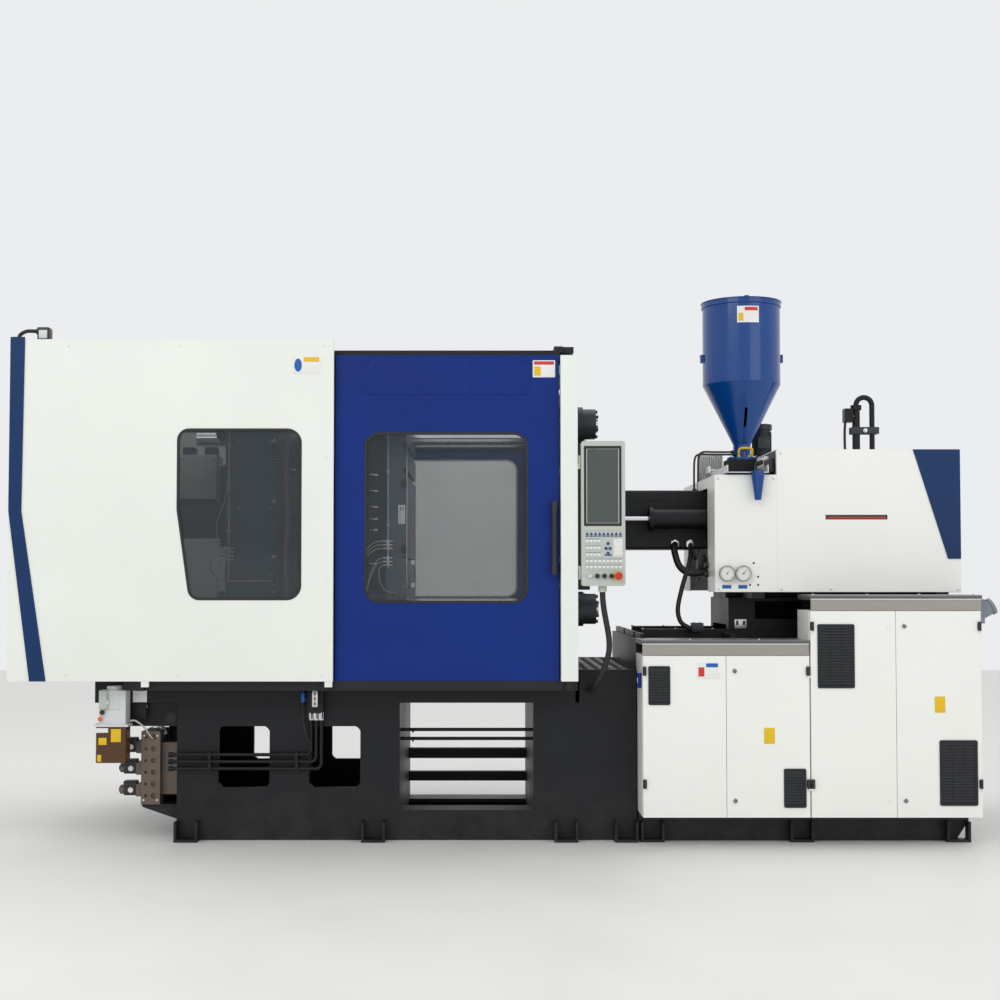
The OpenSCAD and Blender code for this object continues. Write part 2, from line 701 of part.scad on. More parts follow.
// A folded sheet with returned edges and a returned rim round its window
module folded_sheet(x0, x1, z0, z1, y, depth, skin, hole, rim) {
    lip = 22;
    difference() {
        face_plate(rect(x0, z0, x1, z1), y, y + depth);
        difference() {
            face_plate(rect(x0 + lip, z0 + lip, x1 - lip, z1 - lip), y + skin, y + depth + 1);
            if (len(hole) > 0) face_plate(rim, y, y + depth + 2);
        }
        if (len(hole) > 0) {
            face_plate(hole, y - 1, y + depth + 1);
            face_plate(rim, y + skin + pane_t + 2, y + depth + 1);
        }
    }
}
module guard_front_panel() {
    color([0.93, 0.94, 0.91]) difference() {
        folded_sheet(guard_x0, guard_x1, beam_z1, guard_top_z, front_y, guard_t, 4,
            window_outline(0), window_outline(30));
        face_plate(window_outline(seal_w), front_y + 4, front_y + 4 + pane_t);
    }
    color("white") for (x = [-1612, -788]) box(x, x + 34, front_y + 4, front_y + guard_t, beam_z1 - 26,
        beam_z1);
}
module guard_window() {
    color([0.2, 0.24, 0.27]) face_plate(window_outline(seal_w), front_y + 4, front_y + 4 + pane_t);
}
module guard_rear_panel() {
    color([0.93, 0.94, 0.91]) mirror([0, 1, 0])
        folded_sheet(guard_x0, guard_x1, beam_z1, guard_top_z, front_y, guard_t, 4, [], []);
}
module guard_end_panel() {
    color([0.92, 0.93, 0.9]) {
        difference() {
            box(guard_x0, guard_x0 + guard_t, front_y + guard_t, -front_y - guard_t, beam_z1, guard_top_z);
            box(guard_x0 + 4, guard_x0 + guard_t + 1, front_y + guard_t + 22, -front_y - guard_t - 22,
                beam_z1 + 22, guard_top_z - 22);
        }
        box(guard_x0 + guard_t, beam_x0 + 10, -200, 200, beam_z1, beam_z1 + 20);
        box(guard_x0 + guard_t, beam_x0 + 10, -200, 200, guard_top_z - 40, guard_top_z - guard_t);
    }
}
module guard_stripe() {
    kink = axis_h + 8;
    x = guard_x0;
    color([0.0, 0.18, 0.38]) face_plate([[x + 102, beam_z1], [x + 175, beam_z1], [x + 58, kink],
        [x + 67, guard_top_z + 10], [x + 2, guard_top_z + 10], [x, kink]], front_y - 5, front_y);
}
module guard_frame() {
    y0 = bed_y - 45;
    y1 = y0 + tube_w;
    tube_z = frame_top - tube_w;
    tab_z = frame_top - 26;
    foot_z0 = beam_z1 - 44;
    foot_z1 = beam_z1 - touch;
    rail_x0 = -1700;
    rail_back = door_y + door_t + touch;
    posts = [beam_x0 + 10, guard_x1 - tube_w - 10, beam_x1 - tube_w - 11];
    color([0.16, 0.16, 0.18]) {
        both_sides() {
            for (x = posts) box(x, x + tube_w, -y1, -y0, beam_z1, tube_z - touch);
            box(posts[0], posts[2] + tube_w, -y1, -y0, tube_z, frame_top);
            for (x = [posts[0], posts[1], posts[1] - 500])
                box(x, x + 40, front_y + guard_t, -y1 - touch, tab_z, frame_top);
            box(rail_x0, post_left, rail_back, rail_back + 18, door_top_z - 40, tab_z - touch);
            for (x = [-1640, posts[1] + 6, post_left + 20])
                box(x, x + 36, front_y + guard_t, door_y - touch, foot_z0, foot_z1);
            box(rail_x0, beam_x1, door_y, door_y + door_t, foot_z0, foot_z1);
            for (x = [-1640, -1300, posts[1] + 6, -500, post_left + 20])
                box(x, x + 36, rail_back, -beam_y, foot_z0, foot_z1);
            box(posts[2], posts[2] + tube_w, rail_back + 18, -y1 - touch, tab_z, frame_top);
            box(posts[2] - 40, posts[2] - touch, rail_back, -y1 - touch, tab_z, frame_top);
        }
        for (x = posts) box(x, x + tube_w, touch - y0, y0 - touch, tube_z, frame_top);
    }
}
module door_posts() {
    bracket_z = [axis_h - 300, axis_h + 200];
    pin_x = panel_x0 - 8;
    pin_r = 8 - touch;
    color([0.94, 0.95, 0.93]) both_sides() {
        difference() {
            box(post_left, beam_x1, front_y, front_y + 80, beam_z1, post_top_z);
            box(post_left + 4, beam_x1 - 4, front_y + 4, front_y + 81, beam_z1 + 4, post_top_z - 4);
        }
        box(post_left + 4, beam_x1 - 4, front_y + 76, -bed_y - 5 - touch, post_top_z - 60, post_top_z - 4);
    }
    color([0.6, 0.6, 0.6]) {
        for (z = bracket_z) {
            box(beam_x1, pin_x, front_y + 14, front_y + 26, z, z + 60);
            rod_z(z, z + 60, pin_x, front_y + 20, pin_r);
        }
    }
}
module sliding_door() {
    plate = [door_x0 + 126, door_x0 + 882, door_top_z - 180, door_top_z - 12];
    difference() {
        folded_sheet(door_x0, door_x1, door_z0, door_top_z, door_y, door_t, 4, door_window(0),
            door_window(34));
        face_plate(door_window(seal_w), door_y + 4, door_y + 4 + pane_t);
    }
    box(plate[0], plate[1], door_y - 2, door_y, plate[2], plate[3]);
    for (x = [plate[0] + 18, plate[1] - 18]) for (z = [plate[2] + 16, plate[3] - 16])
        rod_y(door_y - 5, door_y - 2, x, z, 6);
}
module door_pane() {
    face_plate(door_window(seal_w), door_y + 4, door_y + 4 + pane_t);
}
module grip(x, z0) {
    stand = 34;
    rod_z(z0 + 18, z0 + handle_len - 18, x, door_y - stand, handle_r);
    for (z = [z0, z0 + handle_len - 52]) {
        box(x - handle_r, x + handle_r, door_y - stand, door_y, z + 6, z + 46);
        rod_z(z, z + 52, x, door_y - stand, handle_r + 3);
    }
}
module front_door() {
    color([0.0, 0.22, 0.48]) sliding_door();
}
module front_door_window() {
    color([0.3, 0.34, 0.36]) door_pane();
}
module front_door_handle() {
    color([0.08, 0.08, 0.09]) grip(door_x1 - 24, axis_h - 278);
}
module rear_door() {
    color([0.0, 0.22, 0.48]) mirror([0, 1, 0]) {
        sliding_door();
        grip(door_x1 - 24, axis_h - 278);
    }
}
module rear_door_window() {
    color([0.75, 0.78, 0.8]) mirror([0, 1, 0]) door_pane();
}

// The base is welded of plates, each a simple solid
module injection_base() {
    rail_y = 230;
    wall = 20;
    foot_x = [base_x0 + 61, base_x0 + 745, base_x1 - 59];
    skirt_y = 60 - base_y0;
    chamfer = 90;
    low_z1 = cabinet_bottom_z - touch;
    in_y0 = base_y0 + wall + touch;
    in_y1 = base_y1 - wall - touch;
    end_x = base_x1 - 70;
    skirt = [[base_x0, 0], [base_x1 - 60, 0], [base_x1, chamfer], [base_x1, low_z1], [base_x0, low_z1]];
    color([0.13, 0.12, 0.14]) {
        face_plate(skirt, -skirt_y, base_y0 + wall);
        face_plate(skirt, base_y1 - wall, base_y1);
        box(base_x0, base_x0 + wall, in_y0, in_y1, 0, low_z1);
        face_plate([[end_x, 0], [base_x1 - 60, 0], [base_x1, chamfer], [base_x1, low_z1], [end_x,
            low_z1]], in_y0, in_y1);
        box(base_x0, base_x1, base_y0, base_y0 + wall, cabinet_bottom_z, deck_z - 25 - touch);
        box(base_x0, base_x1, base_y1 - wall, base_y1, cabinet_bottom_z, deck_z - 25 - touch);
        box(base_x0, base_x0 + wall, in_y0, in_y1, cabinet_bottom_z, deck_z - 25 - touch);
        box(end_x, base_x1, in_y0, in_y1, cabinet_bottom_z, deck_z - 25 - touch);
        box(base_x0, base_x1, base_y0, base_y1, deck_z - 25, deck_z);
        both_sides() box(base_x0 + 60, base_x1 - 20, -rail_y - 30, 30 - rail_y, deck_z + touch, deck_z +
            40);
        for (x = foot_x) {
            translate([x, -skirt_y - touch, 0]) floor_bracket(48);
            translate([x, base_y1 + touch, 0]) mirror([0, 1, 0]) floor_bracket(48);
        }
        for (y = [[base_y0, -rail_y - 30 - touch], [30 - rail_y + touch, rail_y - 30 - touch], [rail_y +
            30 + touch, base_y1]])
            for (x = [base_x0 + wall, base_x0 + 441]) box(x, x + 20, y[0], y[1], deck_z + touch, deck_z +
                26);
    }
}
module carcass(x0, x1, z1) {
    wall = 8;
    color([0.9, 0.91, 0.88]) difference() {
        box(x0, x1, front_y + leaf_t + leaf_gap, base_y0, cabinet_bottom_z, z1);
        box(x0 + wall, x1 - wall, front_y + leaf_t - 1, base_y0 - wall, cabinet_bottom_z + wall, z1 - wall);
    }
}
// Hinge arms on a cabinet's edge, each with a pin in the knuckle of its door: s is the side the arm lies on
module hinge_arms(x, s, z1) {
    arm = [[x + s * 9.6, x + s * 8.4], [x + s * 9.6, x]];
    pin_y = front_y - knuckle_r;
    color([0.1, 0.1, 0.1]) for (z = [cabinet_bottom_z + 130, z1 - 90]) {
        box(min(arm[0]), max(arm[0]), pin_y, front_y + leaf_t + leaf_gap - touch, z - 9, z - 1);
        box(min(arm[1]), max(arm[1]), pin_y - hinge_pin_r - 0.5, pin_y + hinge_pin_r + 0.5, z - 9, z - 1);
        rod_z(z - 5, z + 36, x, pin_y, hinge_pin_r);
    }
}
module low_cabinet() {
    carcass(low_x0, low_x1, low_top_z);
    hinge_arms(low_x0 + 9, -1, low_top_z);
    hinge_arms(low_x1 - 9, 1, low_top_z);
}
module tall_cabinet() {
    carcass(tall_x0, tall_x1, tall_top_z);
    hinge_arms(tall_x0 + 9, -1, tall_top_z);
    hinge_arms(tall_x1 - 9, 1, tall_top_z);
}
module trim(x0, x1, z0, z1, z2) {
    color([0.59, 0.56, 0.53]) difference() {
        box(x0, x1, front_y - 2, base_y0, z0, z1);
        box(x0 - 1, x1 + 1, front_y + 4, base_y0 + 1, z0 - 1, z1 - 6);
    }
    color([0.62, 0.6, 0.57]) face_plate(rect(x0 - 3, z1, x1 + 3, z2), front_y - 6, base_y0);
}
module cabinet_tops() {
    trim(low_x0, low_x1 - 4, low_top_z, low_trim_z, low_lid_z);
    trim(tall_x0 + 4, tall_x1, tall_top_z, tall_trim_z, tall_lid_z);
}
// A cabinet door with a louvred vent: its edges, the vent's corners, and the side of its hinges
module leaf(x0, x1, z1, vx0, vx1, vz0, vz1, hinge_x, lock_x) {
    slat_pitch = 14;
    skin = 3;
    leaf_z1 = z1 + 2;
    color([0.94, 0.95, 0.93]) difference() {
        face_plate(rect(x0, cabinet_bottom_z, x1, z1), front_y, front_y + leaf_t);
        face_plate(rect(x0 + 12, cabinet_bottom_z + 12, x1 - 12, z1 - 12), front_y + skin, front_y +
            leaf_t + 1);
        face_plate(soft_rect(vx0, vz0, vx1, vz1, 6), front_y - 1, front_y + leaf_t);
    }
    color([0.13, 0.14, 0.16]) {
        difference() {
            face_plate(rect(vx0 - 8, vz0 - 8, vx1 + 8, vz1 + 8), front_y + skin, front_y + 10);
            face_plate(rect(vx0 + 8, vz0 + 8, vx1 - 8, vz1 - 8), front_y, front_y + 11);
        }
        for (z = [vz0 + 10:slat_pitch:vz1 - 14])
            end_plate([[front_y - 1, z - 3], [front_y + 10, z + 5], [front_y + 10, z + 8], [front_y - 1,
                z + 1]],
                vx0 + 8, vx1 - 8);
    }
    color([0.1, 0.1, 0.1]) for (z = [cabinet_bottom_z + 130, leaf_z1 - 90]) difference() {
        union() {
            rod_z(z, z + 40, hinge_x, front_y - knuckle_r, knuckle_r);
            box(hinge_x - 5, hinge_x + 5, front_y - 6, front_y + 1, z, z + 40);
        }
        rod_z(z - 1, z + 37, hinge_x, front_y - knuckle_r, hinge_pin_r + 0.06);
    }
    color([0.2, 0.2, 0.2]) for (z = [cabinet_bottom_z + 75, z1 - 70]) rod_y(front_y - 3, front_y, lock_x,
        z, 10);
}
module low_left_door() {
    leaf(low_x0 + 2, low_split - 1, low_top_z - 2, low_x0 + 29, low_x0 + 121, low_top_z - 219,
        low_top_z - 51,
        low_x0 + 9, low_split - 30);
}
module low_right_door() {
    z = cabinet_bottom_z;
    leaf(low_split + 1, low_x1 - 2, low_top_z - 2, low_x1 - 117, low_x1 - 23, z + 47, z + 215,
        low_x1 - 9, low_split + 38);
}
module tall_left_door() {
    leaf(tall_x0 + 2, tall_split - 1, tall_top_z - 2, tall_x0 + 36, tall_x0 + 196, tall_top_z - 345,
        tall_top_z - 64,
        tall_x0 + 9, tall_split - 30);
}
module tall_right_door() {
    z = cabinet_bottom_z;
    leaf(tall_split + 1, tall_x1 - 2, tall_top_z - 2, tall_x1 - 191, tall_x1 - 27, z + 56, z + 342,
        tall_x1 - 9,
        tall_split + 38);
}
module power_inlet() {
    x = tall_x1;
    y = front_y + 100;
    z = tall_top_z - 10;
    lean = 62;
    color([0.72, 0.73, 0.74]) {
        box(x, x + 34, y - 50, y + 50, z - 50, z + 60);
        translate([x + 30, y, z]) rotate([0, lean, 0]) cylinder(h = 50, r = 34);
    }
    color([0.1, 0.3, 0.55]) translate([x + 30, y, z]) rotate([0, lean, 0]) translate([0, 0,
        50]) cylinder(h = 14, r = 39);
}
module pump_motor() {
    x = base_x1;
    z = 215;
    color([0.1, 0.1, 0.11]) {
        difference() {
            union() {
                rod_x(x, x + 70, -300, z, 98);
                rod_x(x + 70, x + 84, -300, z, 88);
            }
            for (a = [0:45:315]) translate([0, -300, z]) rotate([a, 0, 0]) box(x + 76, x + 85, -7, 7, 30,
                76);
        }
        box(x, x + 30, -330, -270, z + 104, z + 160);
        rod_x(x, x + 12, -300, z + 100, 20);
    }
}

flange_x0 = block_x0 - 99;
rod_y_off = 212;
rod_axis_z = axis_h - 6;
rod_r = 13;
barrel_x0 = 420;
nozzle_x0 = 375;
gate_z0 = cover_z1 - cover_step_h;
gate_slot_z = gate_z0 + 52;
gate_t = 8;
pipe_x = 1806;

module injection_carriage() {
    rail_top = deck_z + 40 + touch;
    deck = cover_z0 - 30;
    foot_z = cover_z0 + 10 + touch;
    drive_x = 1500;
    color([0.15, 0.15, 0.17]) {
        difference() {
            union() {
                both_sides() {
                    box(1112, 2120, -262, -198, rail_top, rail_top + 40);
                    box(1112, 2120, -262, -228, rail_top + 40, deck - touch);
                }
                for (x = [1112, 1500, 2050]) box(x, x + 70, -262, 262, rail_top + 20, deck - touch);
            }
            for (x = [1240, 1620]) box(x, x + 230, -263, -227, rail_top + 50, deck - 16);
        }
        for (x = [1180, 2040]) both_sides() box(x, x + 60, 2 - cover_y, -180 - touch, deck, cover_z0);
        box(1112, 2120, -180, 180, deck, cover_z0 + 10);
        difference() {
            union() {
                box(block_x0, block_x1, -90, 90, foot_z, axis_h - 110);
                box(block_x0, block_x1, -115, 115, axis_h - 110, block_z1);
                box(flange_x0, block_x0, -275, 275, axis_h - 80, axis_h + 70);
                box(block_x1 - 40, block_x1, -190, 190, axis_h - 60, axis_h + 60);
            }
            rod_x(flange_x0 - 1, block_x1 + 1, 0, axis_h, screw_r + shaft_fit);
            rod_z(axis_h, block_z1 + 1, hopper_x, 0, throat_r - 4);
        }
        difference() {
            rod_z(block_z1 + touch, gate_z0 - touch, hopper_x, 0, throat_r + 16);
            rod_z(block_z1, gate_z0, hopper_x, 0, throat_r - 4);
        }
        both_sides() rod_x(block_x1 + touch, drive_x - touch, -150, axis_h, 34);
        box(1560, 2000, -140, 140, foot_z, axis_h - 180 - touch);
        difference() {
            union() {
                box(drive_x, 1700, -200, 200, axis_h - 180, axis_h + 180);
                rod_x(1700, 1960, 0, axis_h, 150);
                rod_x(1960, 2040, 0, axis_h, 120);
            }
            rod_x(drive_x - 1, 1640, 0, axis_h, screw_r + shaft_fit);
        }
    }
    color([0.7, 0.71, 0.72]) difference() {
        box(hopper_x - 80, hopper_x + 80, -75, 75, gate_z0, throat_z);
        rod_z(gate_z0 - 1, throat_z + 1, hopper_x, 0, throat_r - 4);
        box(hopper_x - 81, hopper_x + 81, -54 - touch, 54 + touch, gate_slot_z - touch, gate_slot_z +
            gate_t + touch);
    }
    pipe_x2 = pipe_x + 80;
    bend_z = cover_z1 + 267;
    color([0.62, 0.63, 0.65]) {
        rod_z(axis_h + 150 + touch, bend_z - 24, pipe_x, 0, 19);
        rod_z(bend_z - 24, bend_z, pipe_x, 0, 27);
        translate([pipe_x + 40, 0, bend_z]) rotate([90, 0, 0]) rotate_extrude(angle = 180) translate([40,
            0]) circle(r = 13);
        rod_z(cover_z1 - 19, bend_z, pipe_x2, 0, 13);
        box(pipe_x - 62, pipe_x - 19, -26, 26, bend_z - 86, bend_z - 18);
    }
}
module carriage_cylinders() {
    x0 = 735;
    r = 48;
    color([0.16, 0.16, 0.18]) both_sides() difference() {
        union() {
            rod_x(x0 + 20, flange_x0, -rod_y_off, rod_axis_z, r);
            rod_x(x0, x0 + 20, -rod_y_off, rod_axis_z, r + 10);
            rod_x(flange_x0 - 24, flange_x0, -rod_y_off, rod_axis_z, r + 9);
        }
        rod_x(x0 - 1, x0 + 24, -rod_y_off, rod_axis_z, rod_r + shaft_fit);
        rod_x(x0 + 23, flange_x0 - 18, -rod_y_off, rod_axis_z, r - 10);
    }
}
module carriage_rods() {
    color([0.82, 0.82, 0.84]) both_sides() {
        rod_x(fixed_x1 + fixed_hub_t, 900, -rod_y_off, rod_axis_z, rod_r);
        rod_x(800, 815, -rod_y_off, rod_axis_z, 37.9);
        rod_x(fixed_x1 + fixed_hub_t, fixed_x1 + fixed_hub_t + 26, -rod_y_off, rod_axis_z, 26);
    }
}
module barrel() {
    color([0.45, 0.43, 0.4]) difference() {
        union() {
            rod_x(barrel_x0, flange_x0, 0, axis_h, barrel_r);
            translate([nozzle_x0, 0, axis_h]) rotate([0, 90, 0]) cylinder(h = barrel_x0 - nozzle_x0,
                r1 = 16, r2 = 46);
            for (x = [barrel_x0 + 30:110:flange_x0 - 120]) rod_x(x, x + 80, 0, axis_h, barrel_r + 5);
        }
        rod_x(barrel_x0 + 20, flange_x0 + 1, 0, axis_h, screw_r + shaft_fit);
        rod_x(nozzle_x0 - 1, barrel_x0 + 21, 0, axis_h, 5);
    }
}
module barrel_cover() {
    wall = 4;
    x0 = 521;
    x1 = flange_x0 - 6;
    z0 = axis_h - barrel_cover_h / 2 - 6;
    z1 = z0 + barrel_cover_h;
    color([0.14, 0.14, 0.16]) difference() {
        end_plate(soft_rect(-145, z0, 145, z1, 14), x0, x1);
        end_plate(soft_rect(wall - 145, z0 + wall, 145 - wall, z1 - wall, 10), x0 + wall, x1 - wall);
        rod_x(x0 - 1, x0 + wall + 1, 0, axis_h, barrel_r + 5.3);
        rod_x(x1 - wall - 1, x1 + 1, 0, axis_h, barrel_r + 5.3);
        for (z = [z0 + 60, z1 - 60]) box(x0 - 1, x1 + 1, -146, -145 + 2, z, z + 8);
        for (x = [x0 + 60:46:x1 - 80]) box(x, x + 14, -70, 70, z1 - wall - 1, z1 + 1);
    }
}
// A feed screw: tip, core with one helical flight and plain shank, as rings of points along X
screw_sides = 16;
screw_steps = 10;
screw_turns = 9;
screw_core_r = 19;
function flight_radius(step, side) = let (a = (360 * step / screw_steps - 360 * side / screw_sides) % 360)
    (a < 0 ? a + 360 : a) < 50 ? screw_r - shaft_fit : screw_core_r;
function screw_ring(x, radii) = [for (k = [0:screw_sides - 1])
    [x, radii[k] * cos(360 * k / screw_sides), axis_h + radii[k] * sin(360 * k / screw_sides)]];
function same_radius(r) = [for (k = [1:screw_sides]) r];
module screw() {
    x0 = barrel_x0 + 60;
    pitch = 55;
    n = screw_turns * screw_steps;
    x1 = x0 + screw_turns * pitch;
    rings = concat([screw_ring(x0 - 40, same_radius(5)), screw_ring(x0 - 1, same_radius(screw_core_r))],
        [for (i = [0:n]) screw_ring(x0 + pitch * i / screw_steps,
            [for (k = [0:screw_sides - 1]) flight_radius(i, k)])],
        [screw_ring(x1 + 4, same_radius(screw_r - shaft_fit)), screw_ring(1630,
            same_radius(screw_r - shaft_fit))]);
    m = len(rings);
    s = screw_sides;
    walls = [for (i = [0:m - 2]) for (k = [0:s - 1]) let (j = (k + 1) % s)
        each [[i * s + k, (i + 1) * s + k, (i + 1) * s + j], [i * s + k, (i + 1) * s + j, i * s + j]]];
    caps = [[for (k = [0:s - 1]) k], [for (k = [s - 1:-1:0]) (m - 1) * s + k]];
    color([0.7, 0.7, 0.7]) polyhedron([for (r = rings) each r], concat(walls, caps), convexity = 8);
}
function cover_outline(t) = [[cover_x0 + t, cover_z0 - (t > 0 ? 1 : 0)], [cover_x1 - t,
    cover_z0 - (t > 0 ? 1 : 0)],
    [cover_x1 - t, cover_z1 - t], [cover_step_x + t, cover_z1 - t], [cover_step_x + t,
        cover_z1 - cover_step_h - t],
    [cover_x0 + t, cover_z1 - cover_step_h - t]];
module injection_cover() {
    color([0.94, 0.94, 0.92]) difference() {
        face_plate(cover_outline(0), -cover_y, cover_y);
        face_plate(cover_outline(cover_t), cover_t - cover_y, cover_y - cover_t);
        box(cover_x0 - 1, cover_x0 + cover_t + 1, -290, 290, cover_z0 - 1, axis_h + 140);
        rod_z(cover_z1 - cover_step_h - cover_t - 1, cover_z1, hopper_x, 0, throat_r + 17);
        box(hopper_x + 40, cover_step_x + cover_t + 1, -76, 76, gate_z0 - touch, throat_z + touch);
        box(hopper_x + 40, hopper_x + flange_r + 2, -32, 32, throat_z - 1, cover_z1 + 1);
        box(pipe_x - 66, pipe_x + 100, -32, 32, cover_z1 - cover_t - 1, cover_z1 + 1);
        box(1527, 1817, -cover_y - 1, cover_t - cover_y + 1, axis_h - 20, axis_h + 2);
        for (p = [[1190, 224], [1172, 288], [1210, 288], [1172, 326], [1210, 326]])
            rod_y(-cover_y - 1, cover_t - cover_y + 1, p[0], axis_h - p[1], 5);
    }
}
module cover_corner_trim() {
    color([0.03, 0.2, 0.42]) face_plate([[cover_x1 - 60, axis_h - 204], [cover_x1, axis_h - 204],
        [cover_x1, cover_z1],
        [cover_x1 - 220, cover_z1]], -cover_y - 4, -cover_y);
}
module pressure_gauges() {
    gauge_z = axis_h - 272;
    color([0.6, 0.6, 0.62]) for (x = [1062, 1138]) difference() {
        rod_y(-cover_y - 28, -cover_y, x, gauge_z, gauge_r);
        rod_y(-cover_y - 29, -cover_y - 22, x, gauge_z, gauge_r - 4);
    }
}
module hopper() {
    w = hopper_wall;
    tray = [hopper_x - 165, hopper_x + 28];
    color([0.04, 0.2, 0.45]) {
        difference() {
            translate([hopper_x, 0, 0]) rotate_extrude($fn = 96) polygon([[throat_r - w, throat_z],
                [flange_r, throat_z],
                [flange_r, throat_z + 12], [throat_r, throat_z + 12], [throat_r, hopper_low_z],
                [hopper_r, hopper_mid_z], [hopper_r, hopper_top_z - 20], [hopper_r + 5, hopper_top_z - 20],
                [hopper_r + 5, hopper_top_z], [hopper_r - w, hopper_top_z], [hopper_r - w, hopper_mid_z +
                    1],
                [throat_r - w, hopper_low_z + 1]]);
            box(hopper_x - 7, hopper_x + 7, -hopper_r, 0, hopper_low_z + 85, hopper_low_z + 175);
        }
        translate([hopper_x, 0, 0]) both_sides_x() box(hopper_r - 2, hopper_r + 14, -16, 16,
            hopper_mid_z + 115, hopper_mid_z + 155);
    }
    color([0.7, 0.71, 0.72]) {
        box(tray[0], tray[1], -20 - cover_y, -75, gate_z0 + 8, gate_z0 + 12);
        for (x = [tray[0], tray[1] - 4]) box(x, x + 4, -20 - cover_y, -75, gate_z0 + 12, gate_z0 + 44);
        box(hopper_x - 80, tray[1], -90, -75, gate_z0 + 5, gate_slot_z - 10);
    }
    color([0.04, 0.2, 0.45]) difference() {
        union() {
            translate([hopper_x - 25, -36 - cover_y, gate_z0 - 120]) cylinder(h = 110, r1 = 15, r2 = 30);
            rod_z(gate_z0 - 10, gate_z0 + 16, hopper_x - 25, -36 - cover_y, 30);
            box(hopper_x - 40, hopper_x - 10, -20 - cover_y, -cover_y, gate_z0 - 50, gate_z0 + 10);
        }
        translate([hopper_x - 25, -36 - cover_y, gate_z0 - 121]) cylinder(h = 112, r1 = 12, r2 = 27);
        rod_z(gate_z0 - 10, gate_z0 + 20, hopper_x - 25, -36 - cover_y, 27);
    }
}
module both_sides_x() {
    children();
    mirror([1, 0, 0]) children();
}
module hopper_lid() {
    z = hopper_top_z + touch;
    color([0.05, 0.22, 0.47]) {
        rod_z(z, z + 4, hopper_x, 0, hopper_r + 8);
        rod_z(z + 4, z + 16, hopper_x, -hopper_r + 40, 12);
        box(hopper_x - 30, hopper_x + 30, hopper_r, hopper_r + 14, z, z + 4);
        rod_x(hopper_x - 30, hopper_x + 30, hopper_r + 14, z + 1.7, 6);
    }
}
module feed_gate() {
    x0 = hopper_x - 165;
    color([0.6, 0.61, 0.62]) difference() {
        box(x0, hopper_x + 66, -54, 54, gate_slot_z, gate_slot_z + gate_t);
        rod_z(gate_slot_z - 1, gate_slot_z + gate_t + 1, hopper_x, 0, throat_r - 4);
    }
    color([0.85, 0.65, 0.05]) box(x0 - 14, x0, -54, 54, gate_slot_z - 12, gate_slot_z + 22);
}

// A row of square keys on the panel: first corner, number, pitch and size
module key_row(x, z, n, pitch, w, h) {
    for (i = [0:n - 1]) box(x + i * pitch, x + i * pitch + w, panel_face - 2, panel_face, z, z + h);
}
module control_panel() {
    screen = [12, 180, 270, 630];
    hole = [165, 45];
    knob_r = 11;
    translate([panel_x0, 0, panel_z0]) {
        color([0.75, 0.78, 0.73]) difference() {
            union() {
                face_plate(soft_rect(0, 0, panel_w, panel_h, 12), panel_face, panel_y + panel_t - 10);
                for (z = [[35, 90], [535, 585]]) box(-15, 2, front_y + 28, front_y + 49, z[0], z[1]);
            }
            box(screen[0], screen[1], panel_face - 1, panel_face + 5, screen[2], screen[3]);
            rod_y(panel_face - 1, panel_face + 34, hole[0], hole[1], 8 + shaft_fit);
        }
        color([0.1, 0.11, 0.12]) difference() {
            box(screen[0] + 1, screen[1] - 1, panel_face + 1, panel_face + 5, screen[2] + 1, screen[3] - 1);
            box(screen[0] + 14, screen[1] - 14, panel_face, panel_face + 3, screen[2] + 14, screen[3] - 14);
        }
        color([0.88, 0.89, 0.87]) {
            key_row(19, 228, 9, 18.6, 13, 12);
            for (z = [134, 165, 196]) key_row(20, z, 4, 17, 13, 13);
            for (z = [79, 106]) key_row(19, z, 9, 18.6, 13, 13);
            for (z = [136:20:196]) key_row(146, z, 3, 13, 9, 12);
        }
        color([0.1, 0.2, 0.5]) for (p = [[119, 191], [110, 169], [128, 169], [119, 147]])
            rod_y(panel_face - 3, panel_face, p[0], p[1], 7);
        color([0.12, 0.12, 0.13]) for (x = [70, 102, 134]) rod_y(panel_face - 14, panel_face, x, hole[1],
            knob_r);
        color([0.7, 0.7, 0.7]) rod_y(panel_face - 8, panel_face, 37, hole[1], knob_r);
        color([0.15, 0.15, 0.16]) rod_z(-26, 0, 97, panel_cable_y, 19);
    }
}
module emergency_stop() {
    x = panel_x0 + 165;
    z = panel_z0 + 45;
    color([0.75, 0.05, 0.05]) {
        rod_y(panel_face - 28, panel_face - 12, x, z, 17);
        rod_y(panel_face - 12, panel_face + 22, x, z, 8);
    }
}
module panel_conduit() {
    x = panel_x0 + 97;
    y = panel_cable_y + 1;
    bend = [x + 29, y, panel_z0 - 290];
    first = curve([[x, y - 1, panel_z0 - 27], [x, y - 1, panel_z0 - 130], [x + 37, y, panel_z0 - 210],
        bend], 10);
    second = curve([bend, [x + 21, y, panel_z0 - 370], [gland_x, y + 34, gland_z], [gland_x,
        -bed_y - 25.5, gland_z]], 12);
    color([0.08, 0.08, 0.09]) hose(concat(first, [for (i = [1:12]) second[i]]), 13, 12);
}
